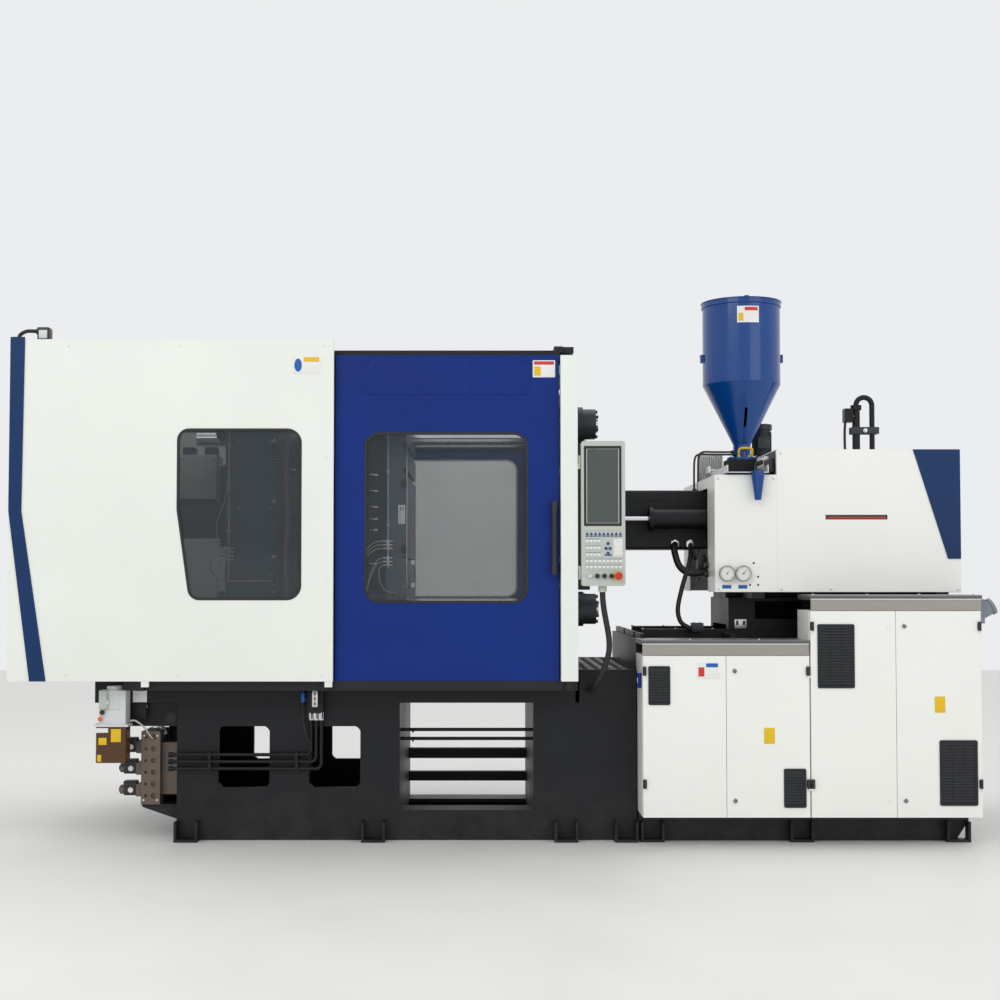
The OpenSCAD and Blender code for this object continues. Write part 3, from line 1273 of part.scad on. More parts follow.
// A quarter bend from +X up to +Z about a centre
module elbow(x, y, z, bend, r) {
    translate([x, y, z]) rotate([90, 0, 0]) rotate([0, 0, -90]) rotate_extrude(angle = 90)
        translate([bend, 0]) circle(r = r);
}
module bed_pipes() {
    y = -bed_y - 22;
    bend = 24;
    color([0.07, 0.07, 0.08]) {
        for (i = [0:2]) {
            x = -868 + 24 * i;
            z = 394 - 32 * i;
            rod_x(bed_x0 - 14, x - bend, y, z, pipe_r);
            elbow(x - bend, y, z + bend, bend, pipe_r);
            rod_z(z + bend, beam_z0 - 57, x, y, pipe_r);
            rod_z(beam_z0 - 71, beam_z0 - 41 - touch, x, y, 11);
            rod_x(bed_x0 - 34, bed_x0 - 14, y, z, 12);
        }
        for (x = [-1340, -940]) difference() {
            box(x, x + 14, y - 12, -bed_y, 318, 406);
            for (i = [0:2]) rod_x(x - 1, x + 15, y, 394 - 32 * i, pipe_r + 0.05);
        }
        for (z = [495, 453]) {
            rod_x(chute_x0, chute_x1, 120 - bed_y, z, pipe_r);
            rod_y(25 - bed_y, 120 - bed_y, chute_x0 + 60, z, 5);
        }
    }
}
module safety_valve() {
    y0 = -beam_y - 52;
    x0 = -879;
    z0 = beam_z0 - 41;
    color([0.17, 0.17, 0.18]) {
        box(x0, x0 + 71, y0, -beam_y, z0, z0 + 113);
        rod_y(y0 - 16, y0, x0 + 35, z0 + 80, 20);
        rod_z(z0 + 113, z0 + 134, x0 + 21, y0 + 24, 12);
    }
    color([0.9, 0.9, 0.88]) box(x0 + 29, x0 + 41, y0 - 22, y0 - 16, z0 + 50, z0 + 110);
    color([0.05, 0.15, 0.6]) rod_z(z0 + 36, z0 + 100, x0 - 23, y0 + 24, 10);
    color([0.7, 0.7, 0.7]) box(x0 - 13, x0, y0 + 16, y0 + 32, z0 + 50, z0 + 66);
}
module lubrication_pump() {
    x = -1764;
    y = -beam_y - 48;
    z0 = beam_z0 - 101;
    color([0.78, 0.78, 0.76]) {
        difference() {
            box(x - 61, x + 61, y - 40, -beam_y, z0, z0 + 164);
            box(x - 36, x + 36, y - 41, y - 34, z0 + 76, z0 + 142);
        }
        rod_z(z0 + 164, z0 + 182, x, y, 34);
        box(x - 82, x + 74, y - 48, y + 44, z0, z0 + 10);
    }
    color([0.9, 0.35, 0.05]) rod_y(y - 52, y - 34, x - 22, z0 + 110, 9);
}
module oil_reservoir() {
    z1 = beam_z0 - 101 - touch;
    z0 = z1 - 163.7;
    color([0.5, 0.3, 0.05]) difference() {
        translate([0, 0, z0]) linear_extrude(z1 - z0) polygon(soft_rect(-1839, -655, -1697, -568, 14));
        translate([0, 0, z0 + 6]) linear_extrude(z1 - z0) polygon(soft_rect(-1834, -650, -1702, -573, 10));
    }
}
module hydraulic_manifold() {
    x0 = -1658;
    x1 = -1570;
    color([0.33, 0.3, 0.28]) {
        difference() {
            union() {
                box(x0, x1, -530, -320, 160, 496);
                box(x1, bed_x0, -480, -360, 200, 440);
            }
            for (z = [200:54:470]) rod_y(-531, -516, x1 - 30, z, 12);
            for (z = [200:54:470]) rod_y(-531, -516, x1 - 66, z, 7);
        }
        rod_z(496, beam_z0, x1 - 40, -420, 20);
    }
    for (k = [0:2]) {
        z = 220 + 100 * k;
        color([0.2, 0.2, 0.2]) box(x0 - 30, x0, -500, -360, z - 28, z + 28);
        color([0.1, 0.1, 0.1]) rod_x(x0 - 110, x0 - 30, -460, z, 21);
        color([0.75, 0.75, 0.72]) box(x0 - 92, x0 - 50, -486, -434, z + 16, z + 40);
    }
}

bed_frame();
step_box();
injection_base();
stationary_platen();
tie_bars();
tie_bar_nuts();
guard_frame();
guard_front_panel();
guard_window();
guard_rear_panel();
guard_end_panel();
guard_stripe();
door_posts();
low_cabinet();
tall_cabinet();
cabinet_tops();
power_inlet();
pump_motor();
lubrication_pump();
oil_reservoir();
hydraulic_manifold();
bed_pipes();
safety_valve();
panel_conduit();
carriage_rods();
control_panel();
rear_platen();
clamp_cylinder();
guide_rods();
mould_height_nuts();
crosshead();
upper_rear_link();
upper_front_link();
lower_rear_link();
lower_front_link();
upper_cross_link();
lower_cross_link();
moving_platen();
ejector_cylinder();
front_door();
front_door_window();
front_door_handle();
rear_door();
rear_door_window();
emergency_stop();
injection_carriage();
carriage_cylinders();
barrel();
barrel_cover();
injection_cover();
cover_corner_trim();
pressure_gauges();
hopper();
screw();
hopper_lid();
feed_gate();
low_left_door();
low_right_door();
tall_left_door();
tall_right_door();
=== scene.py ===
"""Dresses the injection moulding machine: a finish for every node, and the small pieces seen a step away."""

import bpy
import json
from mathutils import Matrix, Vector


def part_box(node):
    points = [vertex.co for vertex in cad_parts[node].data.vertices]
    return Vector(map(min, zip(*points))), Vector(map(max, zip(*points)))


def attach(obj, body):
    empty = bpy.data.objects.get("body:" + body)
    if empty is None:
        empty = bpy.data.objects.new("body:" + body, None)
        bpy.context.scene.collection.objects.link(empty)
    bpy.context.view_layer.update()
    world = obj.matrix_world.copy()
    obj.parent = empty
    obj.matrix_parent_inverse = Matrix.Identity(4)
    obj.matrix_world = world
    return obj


bl_info = {
    "name": "Injection Moulding Machine",
    "version": (1, 0, 0),
    "blender": (4, 5, 0),
    "location": "View3D > Sidebar > Machine",
    "description": "Finishes and detail pieces for a toggle clamp injection moulding machine",
    "category": "Object",
}

import json
import math

import bmesh
import bpy
from mathutils import Matrix, Vector

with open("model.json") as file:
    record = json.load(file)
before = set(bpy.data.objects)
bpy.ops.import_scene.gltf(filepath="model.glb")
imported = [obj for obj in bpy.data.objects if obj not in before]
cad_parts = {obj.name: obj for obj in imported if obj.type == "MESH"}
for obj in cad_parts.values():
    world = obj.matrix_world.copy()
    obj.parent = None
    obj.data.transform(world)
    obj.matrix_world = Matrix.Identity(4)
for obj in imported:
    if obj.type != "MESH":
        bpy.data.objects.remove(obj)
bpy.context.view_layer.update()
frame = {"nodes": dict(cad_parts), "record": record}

# The fronts that pieces stand on: cabinet doors, platens and injection cover, and the hopper's axis
LEAF_Y = -0.75
SIDE_Y = -0.5
COVER_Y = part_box("injection_cover")[0][1]
HOPPER_XY = (1.23, 0.0)
UP = (0, 0, 1)


def colour_property(name, description, default):
    """A colour that a user would change."""
    return bpy.props.FloatVectorProperty(
        name=name, description=description, subtype="COLOR", size=3, min=0, max=1, default=default)


def length_property(name, description, default):
    """A length that a user would change, in metres."""
    return bpy.props.FloatProperty(name=name, description=description, default=default, unit="LENGTH")


class MachineColours(bpy.types.PropertyGroup):
    """Colours that a user would change."""

    guard_white: colour_property("Guard white", "Textured paint of the guards and covers", (0.83, 0.86, 0.8))
    cabinet_white: colour_property("Cabinet white", "Paint of the cabinet doors", (0.87, 0.88, 0.83))
    door_blue: colour_property("Door blue", "Textured paint of the sliding doors", (0.0, 0.022, 0.19))
    trim_blue: colour_property("Trim blue", "Dark blue of the stripe and corner trim", (0.0, 0.026, 0.11))
    hopper_blue: colour_property("Hopper blue", "Gloss paint of the hopper", (0.0, 0.05, 0.235))
    bed_black: colour_property("Bed black", "Paint of the bed and the frame", (0.006, 0.007, 0.009))


class MachineSizes(bpy.types.PropertyGroup):
    """Sizes that a user would change."""

    seal_width: length_property("Seal width", "Width of the rubber seal round the windows", 0.012)
    thin_hose: length_property("Thin hose", "Radius of the thin lubrication hoses", 0.0022)
    edge_round: length_property("Edge round", "Radius that softens the edges of paint and metal", 0.0016)


# Node trees


def node(tree, kind, sockets=(), **values):
    """Adds a node: values set properties or inputs by name, sockets by number, and an output is linked."""
    n = tree.nodes.new(kind)
    n.location = (200 * len(tree.nodes), 0)
    numbered = sockets.items() if isinstance(sockets, dict) else enumerate(sockets)
    for key, value in [*values.items(), *numbered]:
        if isinstance(key, str) and hasattr(n, key):
            setattr(n, key, value)
            continue
        socket = n.inputs[key.replace("_", " ") if isinstance(key, str) else key]
        if isinstance(value, bpy.types.NodeSocket):
            tree.links.new(value, socket)
        else:
            socket.default_value = value
    return n


def new_group(name, inputs, outputs):
    """A shader node group with named sockets, and its input and output nodes."""
    tree = bpy.data.node_groups.new(name, "ShaderNodeTree")
    tree.interface.new_socket("Vector", in_out="INPUT", socket_type="NodeSocketVector")
    for label, default in inputs:
        kind = "NodeSocketVector" if isinstance(default, tuple) else "NodeSocketFloat"
        tree.interface.new_socket(label, in_out="INPUT", socket_type=kind).default_value = default
    for label in outputs:
        tree.interface.new_socket(label, in_out="OUTPUT", socket_type="NodeSocketFloat")
    return tree, tree.nodes.new("NodeGroupInput").outputs, tree.nodes.new("NodeGroupOutput").inputs


def grain_group():
    """Fine surface grain: a height for bump, and a mask of broad patches."""
    tree, given, out = new_group("Surface Grain", [("Scale", 200.0), ("Patch Scale", 2.0)],
                                 ["Height", "Patches"])
    for label, scale, detail, rough in (("Height", "Scale", 3.0, 0.6), ("Patches", "Patch Scale", 4.0, 0.55)):
        noise = node(tree, "ShaderNodeTexNoise", Vector=given["Vector"], Scale=given[scale], Detail=detail,
                     Roughness=rough)
        tree.links.new(noise.outputs["Fac"], out[label])
    return tree


def dust_group():
    """Dust on what faces up and dirt near the floor, as one mask."""
    tree, given, out = new_group("Settled Dust", [("Dust", 0.3), ("Floor Dirt", 0.2)], ["Mask"])
    normal = node(tree, "ShaderNodeSeparateXYZ", [node(tree, "ShaderNodeNewGeometry").outputs["Normal"]])
    place = node(tree, "ShaderNodeSeparateXYZ", [given["Vector"]])
    up = node(tree, "ShaderNodeMapRange", Value=normal.outputs["Z"], From_Min=0.55, From_Max=0.98)
    low = node(tree, "ShaderNodeMapRange", Value=place.outputs["Z"], From_Min=0.35, From_Max=0.0)
    top = node(tree, "ShaderNodeMath", [up.outputs["Result"], given["Dust"]], operation="MULTIPLY")
    foot = node(tree, "ShaderNodeMath", [low.outputs["Result"], given["Floor Dirt"]], operation="MULTIPLY")
    both = node(tree, "ShaderNodeMath", [top.outputs[0], foot.outputs[0]], operation="MAXIMUM")
    noise = node(tree, "ShaderNodeTexNoise", Vector=given["Vector"], Scale=9.0, Detail=6.0, Roughness=0.65)
    ramp = node(tree, "ShaderNodeMapRange", Value=noise.outputs["Fac"], From_Min=0.3, From_Max=0.7)
    broken = node(tree, "ShaderNodeMath", [both.outputs[0], ramp.outputs["Result"]], operation="MULTIPLY",
                  use_clamp=True)
    tree.links.new(broken.outputs[0], out["Mask"])
    return tree


def brushed_group():
    """Fine parallel scratches along X or around a turned part, as a height and a streak mask."""
    tree, given, out = new_group("Brushed Lines", [("Stretch", (6.0, 260.0, 260.0))], ["Height", "Streaks"])
    scale = node(tree, "ShaderNodeVectorMath", [given["Vector"], given["Stretch"]], operation="MULTIPLY")
    lines = node(tree, "ShaderNodeTexNoise", Vector=scale.outputs[0], Scale=1.0, Detail=3.0, Roughness=0.7)
    for label in ("Height", "Streaks"):
        tree.links.new(lines.outputs["Fac"], out[label])
    return tree


GROUPS = {}
FINISHES = {}


def shared(name):
    """The shared node group of that name, built on first use."""
    if name not in GROUPS:
        GROUPS[name] = {"grain": grain_group, "dust": dust_group, "brushed": brushed_group}[name]()
    return GROUPS[name]


def finish_material(name, colour, roughness=0.5, grain=(220.0, 0.0004), patches=0.12, metallic=0.0,
                    dust=0.0, dirt=0.0, coat=0.0, brushed=None, rounded=True, rough_spread=0.1, specular=0.5,
                    alpha=1.0):
    """A paint, metal, plastic or clear sheet: one Principled shader fed by the shared groups."""
    grime = (0.34, 0.32, 0.29, 1.0)
    grime_roughness = 0.85
    material = bpy.data.materials.new(name)
    material.use_nodes = True
    tree = material.node_tree
    shader = tree.nodes["Principled BSDF"].inputs
    shader["Metallic"].default_value = metallic
    shader["Coat Weight"].default_value = coat
    shader["Coat Roughness"].default_value = 0.08
    shader["Specular IOR Level"].default_value = specular
    shader["Alpha"].default_value = alpha
    place = node(tree, "ShaderNodeTexCoord").outputs["Object"]
    if brushed:
        texture = node(tree, "ShaderNodeGroup", node_tree=shared("brushed"), Stretch=brushed, Vector=place)
    else:
        texture = node(tree, "ShaderNodeGroup", node_tree=shared("grain"), Scale=grain[0], Vector=place)
    height, mask = texture.outputs
    tone = node(tree, "ShaderNodeMapRange", Value=mask, From_Min=0.3, From_Max=0.7, To_Min=1 - patches,
                To_Max=1 + patches).outputs["Result"]
    grey = node(tree, "ShaderNodeCombineColor", [tone] * 3).outputs["Color"]
    paint = node(tree, "ShaderNodeMix", {0: 1.0, 6: (*colour, 1.0), 7: grey}, data_type="RGBA",
                 blend_type="MULTIPLY").outputs[2]
    rough = node(tree, "ShaderNodeMapRange", Value=mask, From_Min=0.3, From_Max=0.7,
                 To_Min=roughness - rough_spread / 2, To_Max=roughness + rough_spread / 2).outputs["Result"]
    if dust or dirt:
        settled = node(tree, "ShaderNodeGroup", node_tree=shared("dust"), Dust=dust, Floor_Dirt=dirt,
                       Vector=place).outputs["Mask"]
        paint = node(tree, "ShaderNodeMix", {0: settled, 6: paint, 7: grime}, data_type="RGBA").outputs[2]
        rough = node(tree, "ShaderNodeMix", {0: settled, 2: rough, 3: grime_roughness},
                     data_type="FLOAT").outputs[0]
    bump = node(tree, "ShaderNodeBump", Distance=grain[1], Strength=1.0, Height=height)
    if rounded:
        soften = node(tree, "ShaderNodeBevel", samples=4, Radius=bpy.context.scene.machine_sizes.edge_round)
        tree.links.new(soften.outputs["Normal"], bump.inputs["Normal"])
    for label, output in (("Base Color", paint), ("Roughness", rough), ("Normal", bump.outputs["Normal"])):
        tree.links.new(output, shader[label])
    return material


# Modelling


class Shape:
    """A bmesh that becomes one piece: built from bmesh operators in the frame's metres."""

    def __init__(self, finish=None):
        self.bm = bmesh.new()
        self.done = self.bm.faces.layers.int.new("done")
        self.finishes = [finish] if finish else []

    def use(self, finish):
        """The finish of what is modelled next."""
        self.settle()
        self.finishes.append(finish)
        return self

    def settle(self):
        """Gives every new face the finish in use."""
        for face in self.bm.faces:
            if not face[self.done]:
                face[self.done] = 1
                face.material_index = max(0, len(self.finishes) - 1)

    def soften(self, edges, width):
        """Rounds edges off."""
        bmesh.ops.bevel(self.bm, geom=list(edges), offset=width, segments=2, profile=0.5, affect="EDGES",
                        material=-1)

    def strip(self, rows, closed):
        """Faces between rows of four points, along a closed ring or along a strip that gets end faces."""
        n = len(rows)
        pairs = [(rows[k], rows[(k + 1) % n]) for k in range(n if closed else n - 1)]
        faces = [self.bm.faces.new((a[i], b[i], b[(i + 1) % 4], a[(i + 1) % 4]))
                 for a, b in pairs for i in range(4)]
        if not closed:
            faces += [self.bm.faces.new(rows[0][::-1]), self.bm.faces.new(rows[-1])]
        bmesh.ops.recalc_face_normals(self.bm, faces=faces)
        return self

    def block(self, corner, opposite, bevel=0.001):
        """A box between two opposite corners, with softened edges."""
        made = bmesh.ops.create_cube(self.bm, size=1.0)["verts"]
        size = [abs(b - a) for a, b in zip(corner, opposite)]
        bmesh.ops.scale(self.bm, vec=size, verts=made)
        bmesh.ops.translate(self.bm, vec=[(a + b) / 2 for a, b in zip(corner, opposite)], verts=made)
        if bevel:
            self.soften({e for v in made for e in v.link_edges}, min(bevel, min(size) * 0.45))
        return self

    def rod(self, start, end, radius, radius_end=None, sides=24, bevel=0.0):
        """A cylinder or cone between two points."""
        a, b = Vector(start), Vector(end)
        turn = Vector(UP).rotation_difference((b - a).normalized()).to_matrix().to_4x4()
        made = bmesh.ops.create_cone(
            self.bm, cap_ends=True, segments=sides, radius1=radius,
            radius2=radius if radius_end is None else radius_end, depth=(b - a).length,
            matrix=Matrix.Translation((a + b) / 2) @ turn)["verts"]
        if bevel:
            edges = {e for v in made for e in v.link_edges}
            self.soften([e for e in edges if any(len(f.verts) > 4 for f in e.link_faces)], bevel)
        return self

    def nut(self, start, end, radius, bevel=0.001):
        """A hexagon nut between two points."""
        return self.rod(start, end, radius, sides=6, bevel=bevel)

    def stud(self, at, length, radius, radius_end=None, sides=24, bevel=0.0):
        """A rod that stands on a point and runs towards the front by length."""
        return self.rod(at, (at[0], at[1] - length, at[2]), radius, radius_end, sides, bevel)

    def ball(self, centre, radius, sides=16):
        """A sphere."""
        made = bmesh.ops.create_uvsphere(self.bm, u_segments=sides, v_segments=sides // 2,
                                         radius=radius)["verts"]
        bmesh.ops.translate(self.bm, vec=centre, verts=made)
        return self

    def ring(self, centre, axis, radius, tube, sides=48, tube_sides=12):
        """A torus about an axis, spun from a circle."""
        circle = bmesh.ops.create_circle(
            self.bm, cap_ends=False, segments=tube_sides, radius=tube,
            matrix=Matrix.Translation((radius, 0, 0)) @ Matrix.Rotation(math.pi / 2, 4, "X"))["verts"]
        before = set(self.bm.verts) - set(circle)
        edges = list({e for v in circle for e in v.link_edges})
        bmesh.ops.spin(self.bm, geom=edges + circle, cent=(0, 0, 0), axis=UP, dvec=(0, 0, 0),
                       angle=2 * math.pi, steps=sides, use_merge=True, use_duplicate=False)
        made = [v for v in self.bm.verts if v not in before]
        turn = Vector(UP).rotation_difference(Vector(axis)).to_matrix()
        bmesh.ops.rotate(self.bm, cent=(0, 0, 0), matrix=turn, verts=made)
        bmesh.ops.translate(self.bm, vec=centre, verts=made)
        bmesh.ops.recalc_face_normals(self.bm, faces=list({f for v in made for f in v.link_faces}))
        return self

    def plate(self, outline, y_front, y_back, bevel=0.0):
        """A flat plate facing the front: outline points as (x, z), and its depth along Y."""
        verts = [self.bm.verts.new((x, y_front, z)) for x, z in outline]
        made = bmesh.ops.extrude_face_region(self.bm, geom=[self.bm.faces.new(verts)])["geom"]
        back = [g for g in made if isinstance(g, bmesh.types.BMVert)]
        bmesh.ops.translate(self.bm, vec=(0, y_back - y_front, 0), verts=back)
        faces = list({f for v in verts + back for f in v.link_faces})
        bmesh.ops.recalc_face_normals(self.bm, faces=faces)
        if bevel:
            self.soften({e for f in faces for e in f.edges if len({v in verts for v in e.verts}) == 1}, bevel)
        return self

    def curved_plate(self, centre, radius, a0, a1, z0, z1, steps):
        """A thin plate on an upright drum, between two angles in degrees."""
        inner = radius - 0.0014
        angles = [math.radians(a0 + (a1 - a0) * k / steps) for k in range(steps + 1)]
        return self.strip([[self.bm.verts.new((centre[0] + r * math.cos(a), centre[1] + r * math.sin(a), z))
                            for r, z in ((radius, z0), (radius, z1), (inner, z1), (inner, z0))]
                           for a in angles], False)

    def frame(self, outer, inner, y_front, y_back):
        """A flat ring between two outlines with as many points, such as a window seal."""
        return self.strip([[self.bm.verts.new((x, y, z)) for (x, z), y in
                            ((a, y_front), (b, y_front), (b, y_back), (a, y_back))]
                           for a, b in zip(outer, inner)], True)

    def tube(self, path, radius, sides=10):
        """A pipe along a path: a circle extruded from ring to ring, with closed ends."""
        path = [Vector(p) for p in path]
        ends = path[:1] + path + path[-1:]
        tangents = [(b - a).normalized() for a, b in zip(ends, ends[2:])]
        normal = tangents[0].orthogonal().normalized()
        rings = []
        for p, t in zip(path, tangents):
            normal = (normal - t * normal.dot(t)).normalized()
            side = t.cross(normal)
            rings.append([self.bm.verts.new(p + radius * (math.cos(a) * normal + math.sin(a) * side))
                          for a in (2 * math.pi * k / sides for k in range(sides))])
        for last, ring in zip(rings, rings[1:]):
            for k in range(sides):
                self.bm.faces.new((last[k], last[(k + 1) % sides], ring[(k + 1) % sides], ring[k]))
        self.bm.faces.new(rings[0][::-1])
        self.bm.faces.new(rings[-1])
        return self

    def hose(self, points, radius, sides=10, steps=8):
        """A hose along a smooth curve through the points."""
        return self.tube(smooth_path(points, steps), radius, sides)

    def screw(self, at, axis, radius, height):
        """A cap screw with a hexagon recess, standing on a face and pointing along axis."""
        a, n = Vector(at), Vector(axis)
        self.rod(a, a + n * height, radius, sides=20, bevel=radius * 0.12)
        return self.rod(a + n * height * 0.98, a + n * (height + 0.0006), radius * 0.5, sides=6)

    def screws(self, xs, ys, zs, axis, radius, height):
        """Cap screws at every crossing of the rows, columns and levels."""
        for x in xs:
            for y in ys:
                for z in zs:
                    self.screw((x, y, z), axis, radius, height)
        return self

    def hex_bolt(self, at, axis, radius, height):
        """A hexagon head on a washer."""
        a, n = Vector(at), Vector(axis)
        self.rod(a, a + n * height * 0.25, radius * 1.25, sides=24)
        return self.rod(a + n * height * 0.25, a + n * height, radius, sides=6, bevel=radius * 0.08)

    def to_object(self, name):
        """Turns the shape into an object at the origin."""
        self.settle()
        mesh = bpy.data.meshes.new(name)
        self.bm.faces.layers.int.remove(self.done)
        self.bm.normal_update()
        self.bm.to_mesh(mesh)
        self.bm.free()
        mesh.shade_smooth()
        mesh.set_sharp_from_angle(angle=math.radians(35))
        item = bpy.data.objects.new(name, mesh)
        bpy.context.scene.collection.objects.link(item)
        return item

    def piece(self, name, body):
        """Turns the shape into a piece that rides on a body."""
        item = self.to_object(name)
        for finish in self.finishes:
            item.data.materials.append(FINISHES[finish])
        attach(item, body)


def smooth_path(points, steps):
    """A Catmull-Rom curve through the points."""
    p = [Vector(q) for q in (points[0], *points, points[-1])]
    line = []
    for a, b, c, d in zip(p, p[1:], p[2:], p[3:]):
        for k in range(steps):
            t = k / steps
            line.append(0.5 * (2 * b + (c - a) * t + (2 * a - 5 * b + 4 * c - d) * t * t
                               + (3 * b - a - 3 * c + d) * t ** 3))
    return line + [p[-2]]


def around(count, start=0.0):
    """Angles of a full turn in equal steps."""
    return [start + 2 * math.pi * k / count for k in range(count)]


def rounded(points, radii, steps=6):
    """An outline whose corners are rounded: points as (x, z) and one radius for each."""
    line = []
    for i, r in enumerate(radii):
        p = Vector(points[i])
        if r <= 0:
            line.append(tuple(p))
            continue
        a = (Vector(points[i - 1]) - p).normalized()
        b = (Vector(points[(i + 1) % len(points)]) - p).normalized()
        half = a.angle(b) / 2
        centre = p + (a + b).normalized() * (r / math.sin(half))
        start, end = (p + side * (r / math.tan(half)) - centre for side in (a, b))
        a0 = math.atan2(start.y, start.x)
        turn = (math.atan2(end.y, end.x) - a0 + math.pi) % (2 * math.pi) - math.pi
        line += [(centre.x + r * math.cos(a), centre.y + r * math.sin(a))
                 for a in (a0 + turn * k / steps for k in range(steps + 1))]
    return line


def rect(x0, z0, x1, z1, r=0.0, steps=6):
    """A rectangle's outline with rounded corners."""
    return rounded([(x0, z0), (x1, z0), (x1, z1), (x0, z1)], [r] * 4, steps)


# Finishes of the record's slots and of the small pieces


class MACHINE_OT_finishes(bpy.types.Operator):
    """Make the finishes and put them on the machine's own nodes"""

    bl_idname = "machine.finishes"
    bl_label = "Finishes"

    def execute(self, context):
        colours = context.scene.machine_colours
        # Each row: colour, roughness, scale and depth of the grain, strength of the patches, and more
        make = {
            "guard_white": (colours.guard_white, 0.46, 420, 0.0006, 0.022, dict(dust=0.1)),
            "cabinet_white": (colours.cabinet_white, 0.38, 360, 0.0003, 0.018, dict(dust=0.08, dirt=0.1)),
            "door_blue": (colours.door_blue, 0.46, 330, 0.0011, 0.1, dict(specular=0.22)),
            "trim_blue": (colours.trim_blue, 0.4, 420, 0.0004, 0.08, dict(specular=0.3)),
            "hopper_blue": (colours.hopper_blue, 0.22, 60, 0.0003, 0.1, dict(coat=0.3, specular=0.35)),
            "bed_black": (colours.bed_black, 0.46, 160, 0.0008, 0.35,
                          dict(dust=0.05, dirt=0.06, specular=0.3)),
            "frame_black": ((0.01, 0.01, 0.012), 0.5, 220, 0.0005, 0.3, dict(dust=0.06, specular=0.35)),
            "cast_dark": ((0.03, 0.036, 0.043), 0.44, 120, 0.0007, 0.2, dict(metallic=0.3, dust=0.03)),
            "platen_slate": ((0.085, 0.125, 0.165), 0.4, 140, 0.0005, 0.14, dict(metallic=0.2)),
            "link_steel": ((0.13, 0.13, 0.135), 0.36, 90, 0.0004, 0.2, dict(metallic=0.7)),
            "bright_steel": ((0.66, 0.67, 0.69), 0.16, 0, 0.00008, 0.06,
                             dict(metallic=1.0, brushed=(400, 30, 30))),
            "heater_steel": ((0.4, 0.36, 0.31), 0.34, 0, 0.0002, 0.2,
                             dict(metallic=0.9, brushed=(300, 20, 20))),
            "stainless": ((0.36, 0.34, 0.315), 0.42, 0, 0.00006, 0.05,
                          dict(metallic=0.9, brushed=(3, 120, 160), rough_spread=0.05)),
            "aluminium": ((0.62, 0.62, 0.62), 0.34, 0, 0.0001, 0.08,
                          dict(metallic=1.0, brushed=(8, 200, 300))),
            "panel_grey": ((0.5, 0.545, 0.485), 0.5, 600, 0.0003, 0.02),
            "stop_red": ((0.55, 0.012, 0.008), 0.28, 200, 0.0001, 0.04, dict(coat=0.3)),
            "key_grey": ((0.72, 0.74, 0.7), 0.45, 600, 0.0001, 0.04),
            "key_blue": ((0.01, 0.05, 0.22), 0.35, 600, 0.0001, 0.05),
            "sign_yellow": ((0.78, 0.5, 0.0), 0.4, 500, 0.0001, 0.04),
            "sign_white": ((0.82, 0.82, 0.8), 0.4, 500, 0.0001, 0.02),
            "sign_red": ((0.6, 0.03, 0.02), 0.4, 500, 0.0001, 0.04),
            "sign_blue": ((0.0, 0.1, 0.4), 0.4, 500, 0.0001, 0.04),
            "rubber": ((0.012, 0.012, 0.013), 0.55, 500, 0.0003, 0.2),
            "vent_dark": ((0.012, 0.015, 0.02), 0.46, 300, 0.0003, 0.15, dict(specular=0.35)),
            "handle_black": ((0.015, 0.015, 0.016), 0.38, 800, 0.0003, 0.1),
            "dial_white": ((0.8, 0.8, 0.77), 0.5, 300, 0.00005, 0.02),
            "screen_dark": ((0.05, 0.066, 0.06), 0.14, 30, 0.00002, 0.06, dict(coat=0.4)),
            "bezel_black": ((0.012, 0.013, 0.014), 0.3, 400, 0.0001, 0.05),
            "pump_grey": ((0.7, 0.72, 0.71), 0.42, 300, 0.0004, 0.05, dict(dust=0.05)),
            "manifold_brown": ((0.155, 0.12, 0.098), 0.46, 150, 0.0006, 0.25, dict(metallic=0.5, dust=0.15)),
            "inlet_grey": ((0.2, 0.235, 0.27), 0.4, 300, 0.0002, 0.06),
            "valve_orange": ((0.75, 0.16, 0.01), 0.4, 300, 0.0001, 0.05),
            "hose_pink": ((0.4, 0.2, 0.19), 0.4, 300, 0.0002, 0.1),
            "hose_clear": ((0.6, 0.58, 0.5), 0.25, 300, 0.0001, 0.1),
            "brass": ((0.62, 0.42, 0.14), 0.3, 200, 0.0001, 0.1, dict(metallic=1.0)),
        }
        # Clear sheets: colour, roughness and how much of what lies behind them they hide
        clear = {
            "window_tint": ((0.035, 0.045, 0.052), 0.06, 0.5),
            "door_glass": ((0.06, 0.07, 0.075), 0.06, 0.24),
            "rear_glass": ((0.82, 0.83, 0.8), 0.3, 0.5), "amber": ((0.085, 0.032, 0.006), 0.12, 0.92),
            "gauge_glass": ((0.9, 0.95, 0.95), 0.03, 0.1),
        }
        for name, (colour, roughness, alpha) in clear.items():
            make[name] = (colour, roughness, 60, 0.00004, 0.05, dict(alpha=alpha, rounded=False))
        for name, (colour, roughness, scale, depth, patches, *more) in make.items():
            FINISHES[name] = finish_material(name, colour, roughness, (scale, depth), patches, **dict(*more))
        special = {
            "lubrication_pump": "pump_grey", "power_inlet": "inlet_grey", "injection_cover": "cabinet_white",
            "guard_frame": "frame_black", "rear_platen": "platen_slate", "moving_platen": "platen_slate",
            "front_door_window": "door_glass", "rear_door_window": "rear_glass",
            "hydraulic_manifold": "manifold_brown", "feed_gate": "aluminium",
            "pressure_gauges": "bright_steel",
        }
        for name in ("low_cabinet", "tall_cabinet", *(door for door, *_ in HINGES)):
            special[name] = "cabinet_white"
        slots = {"gauge": "bright_steel", "hose_black": "rubber"}
        for part in frame["record"]["subparts"]:
            name, slot = part["node"], part["material_slot"]
            mesh = frame["nodes"][name].data
            mesh.materials.clear()
            mesh.materials.append(FINISHES[special.get(name) or slots.get(slot, slot)])
        return {"FINISHED"}


# Guards, doors and labels


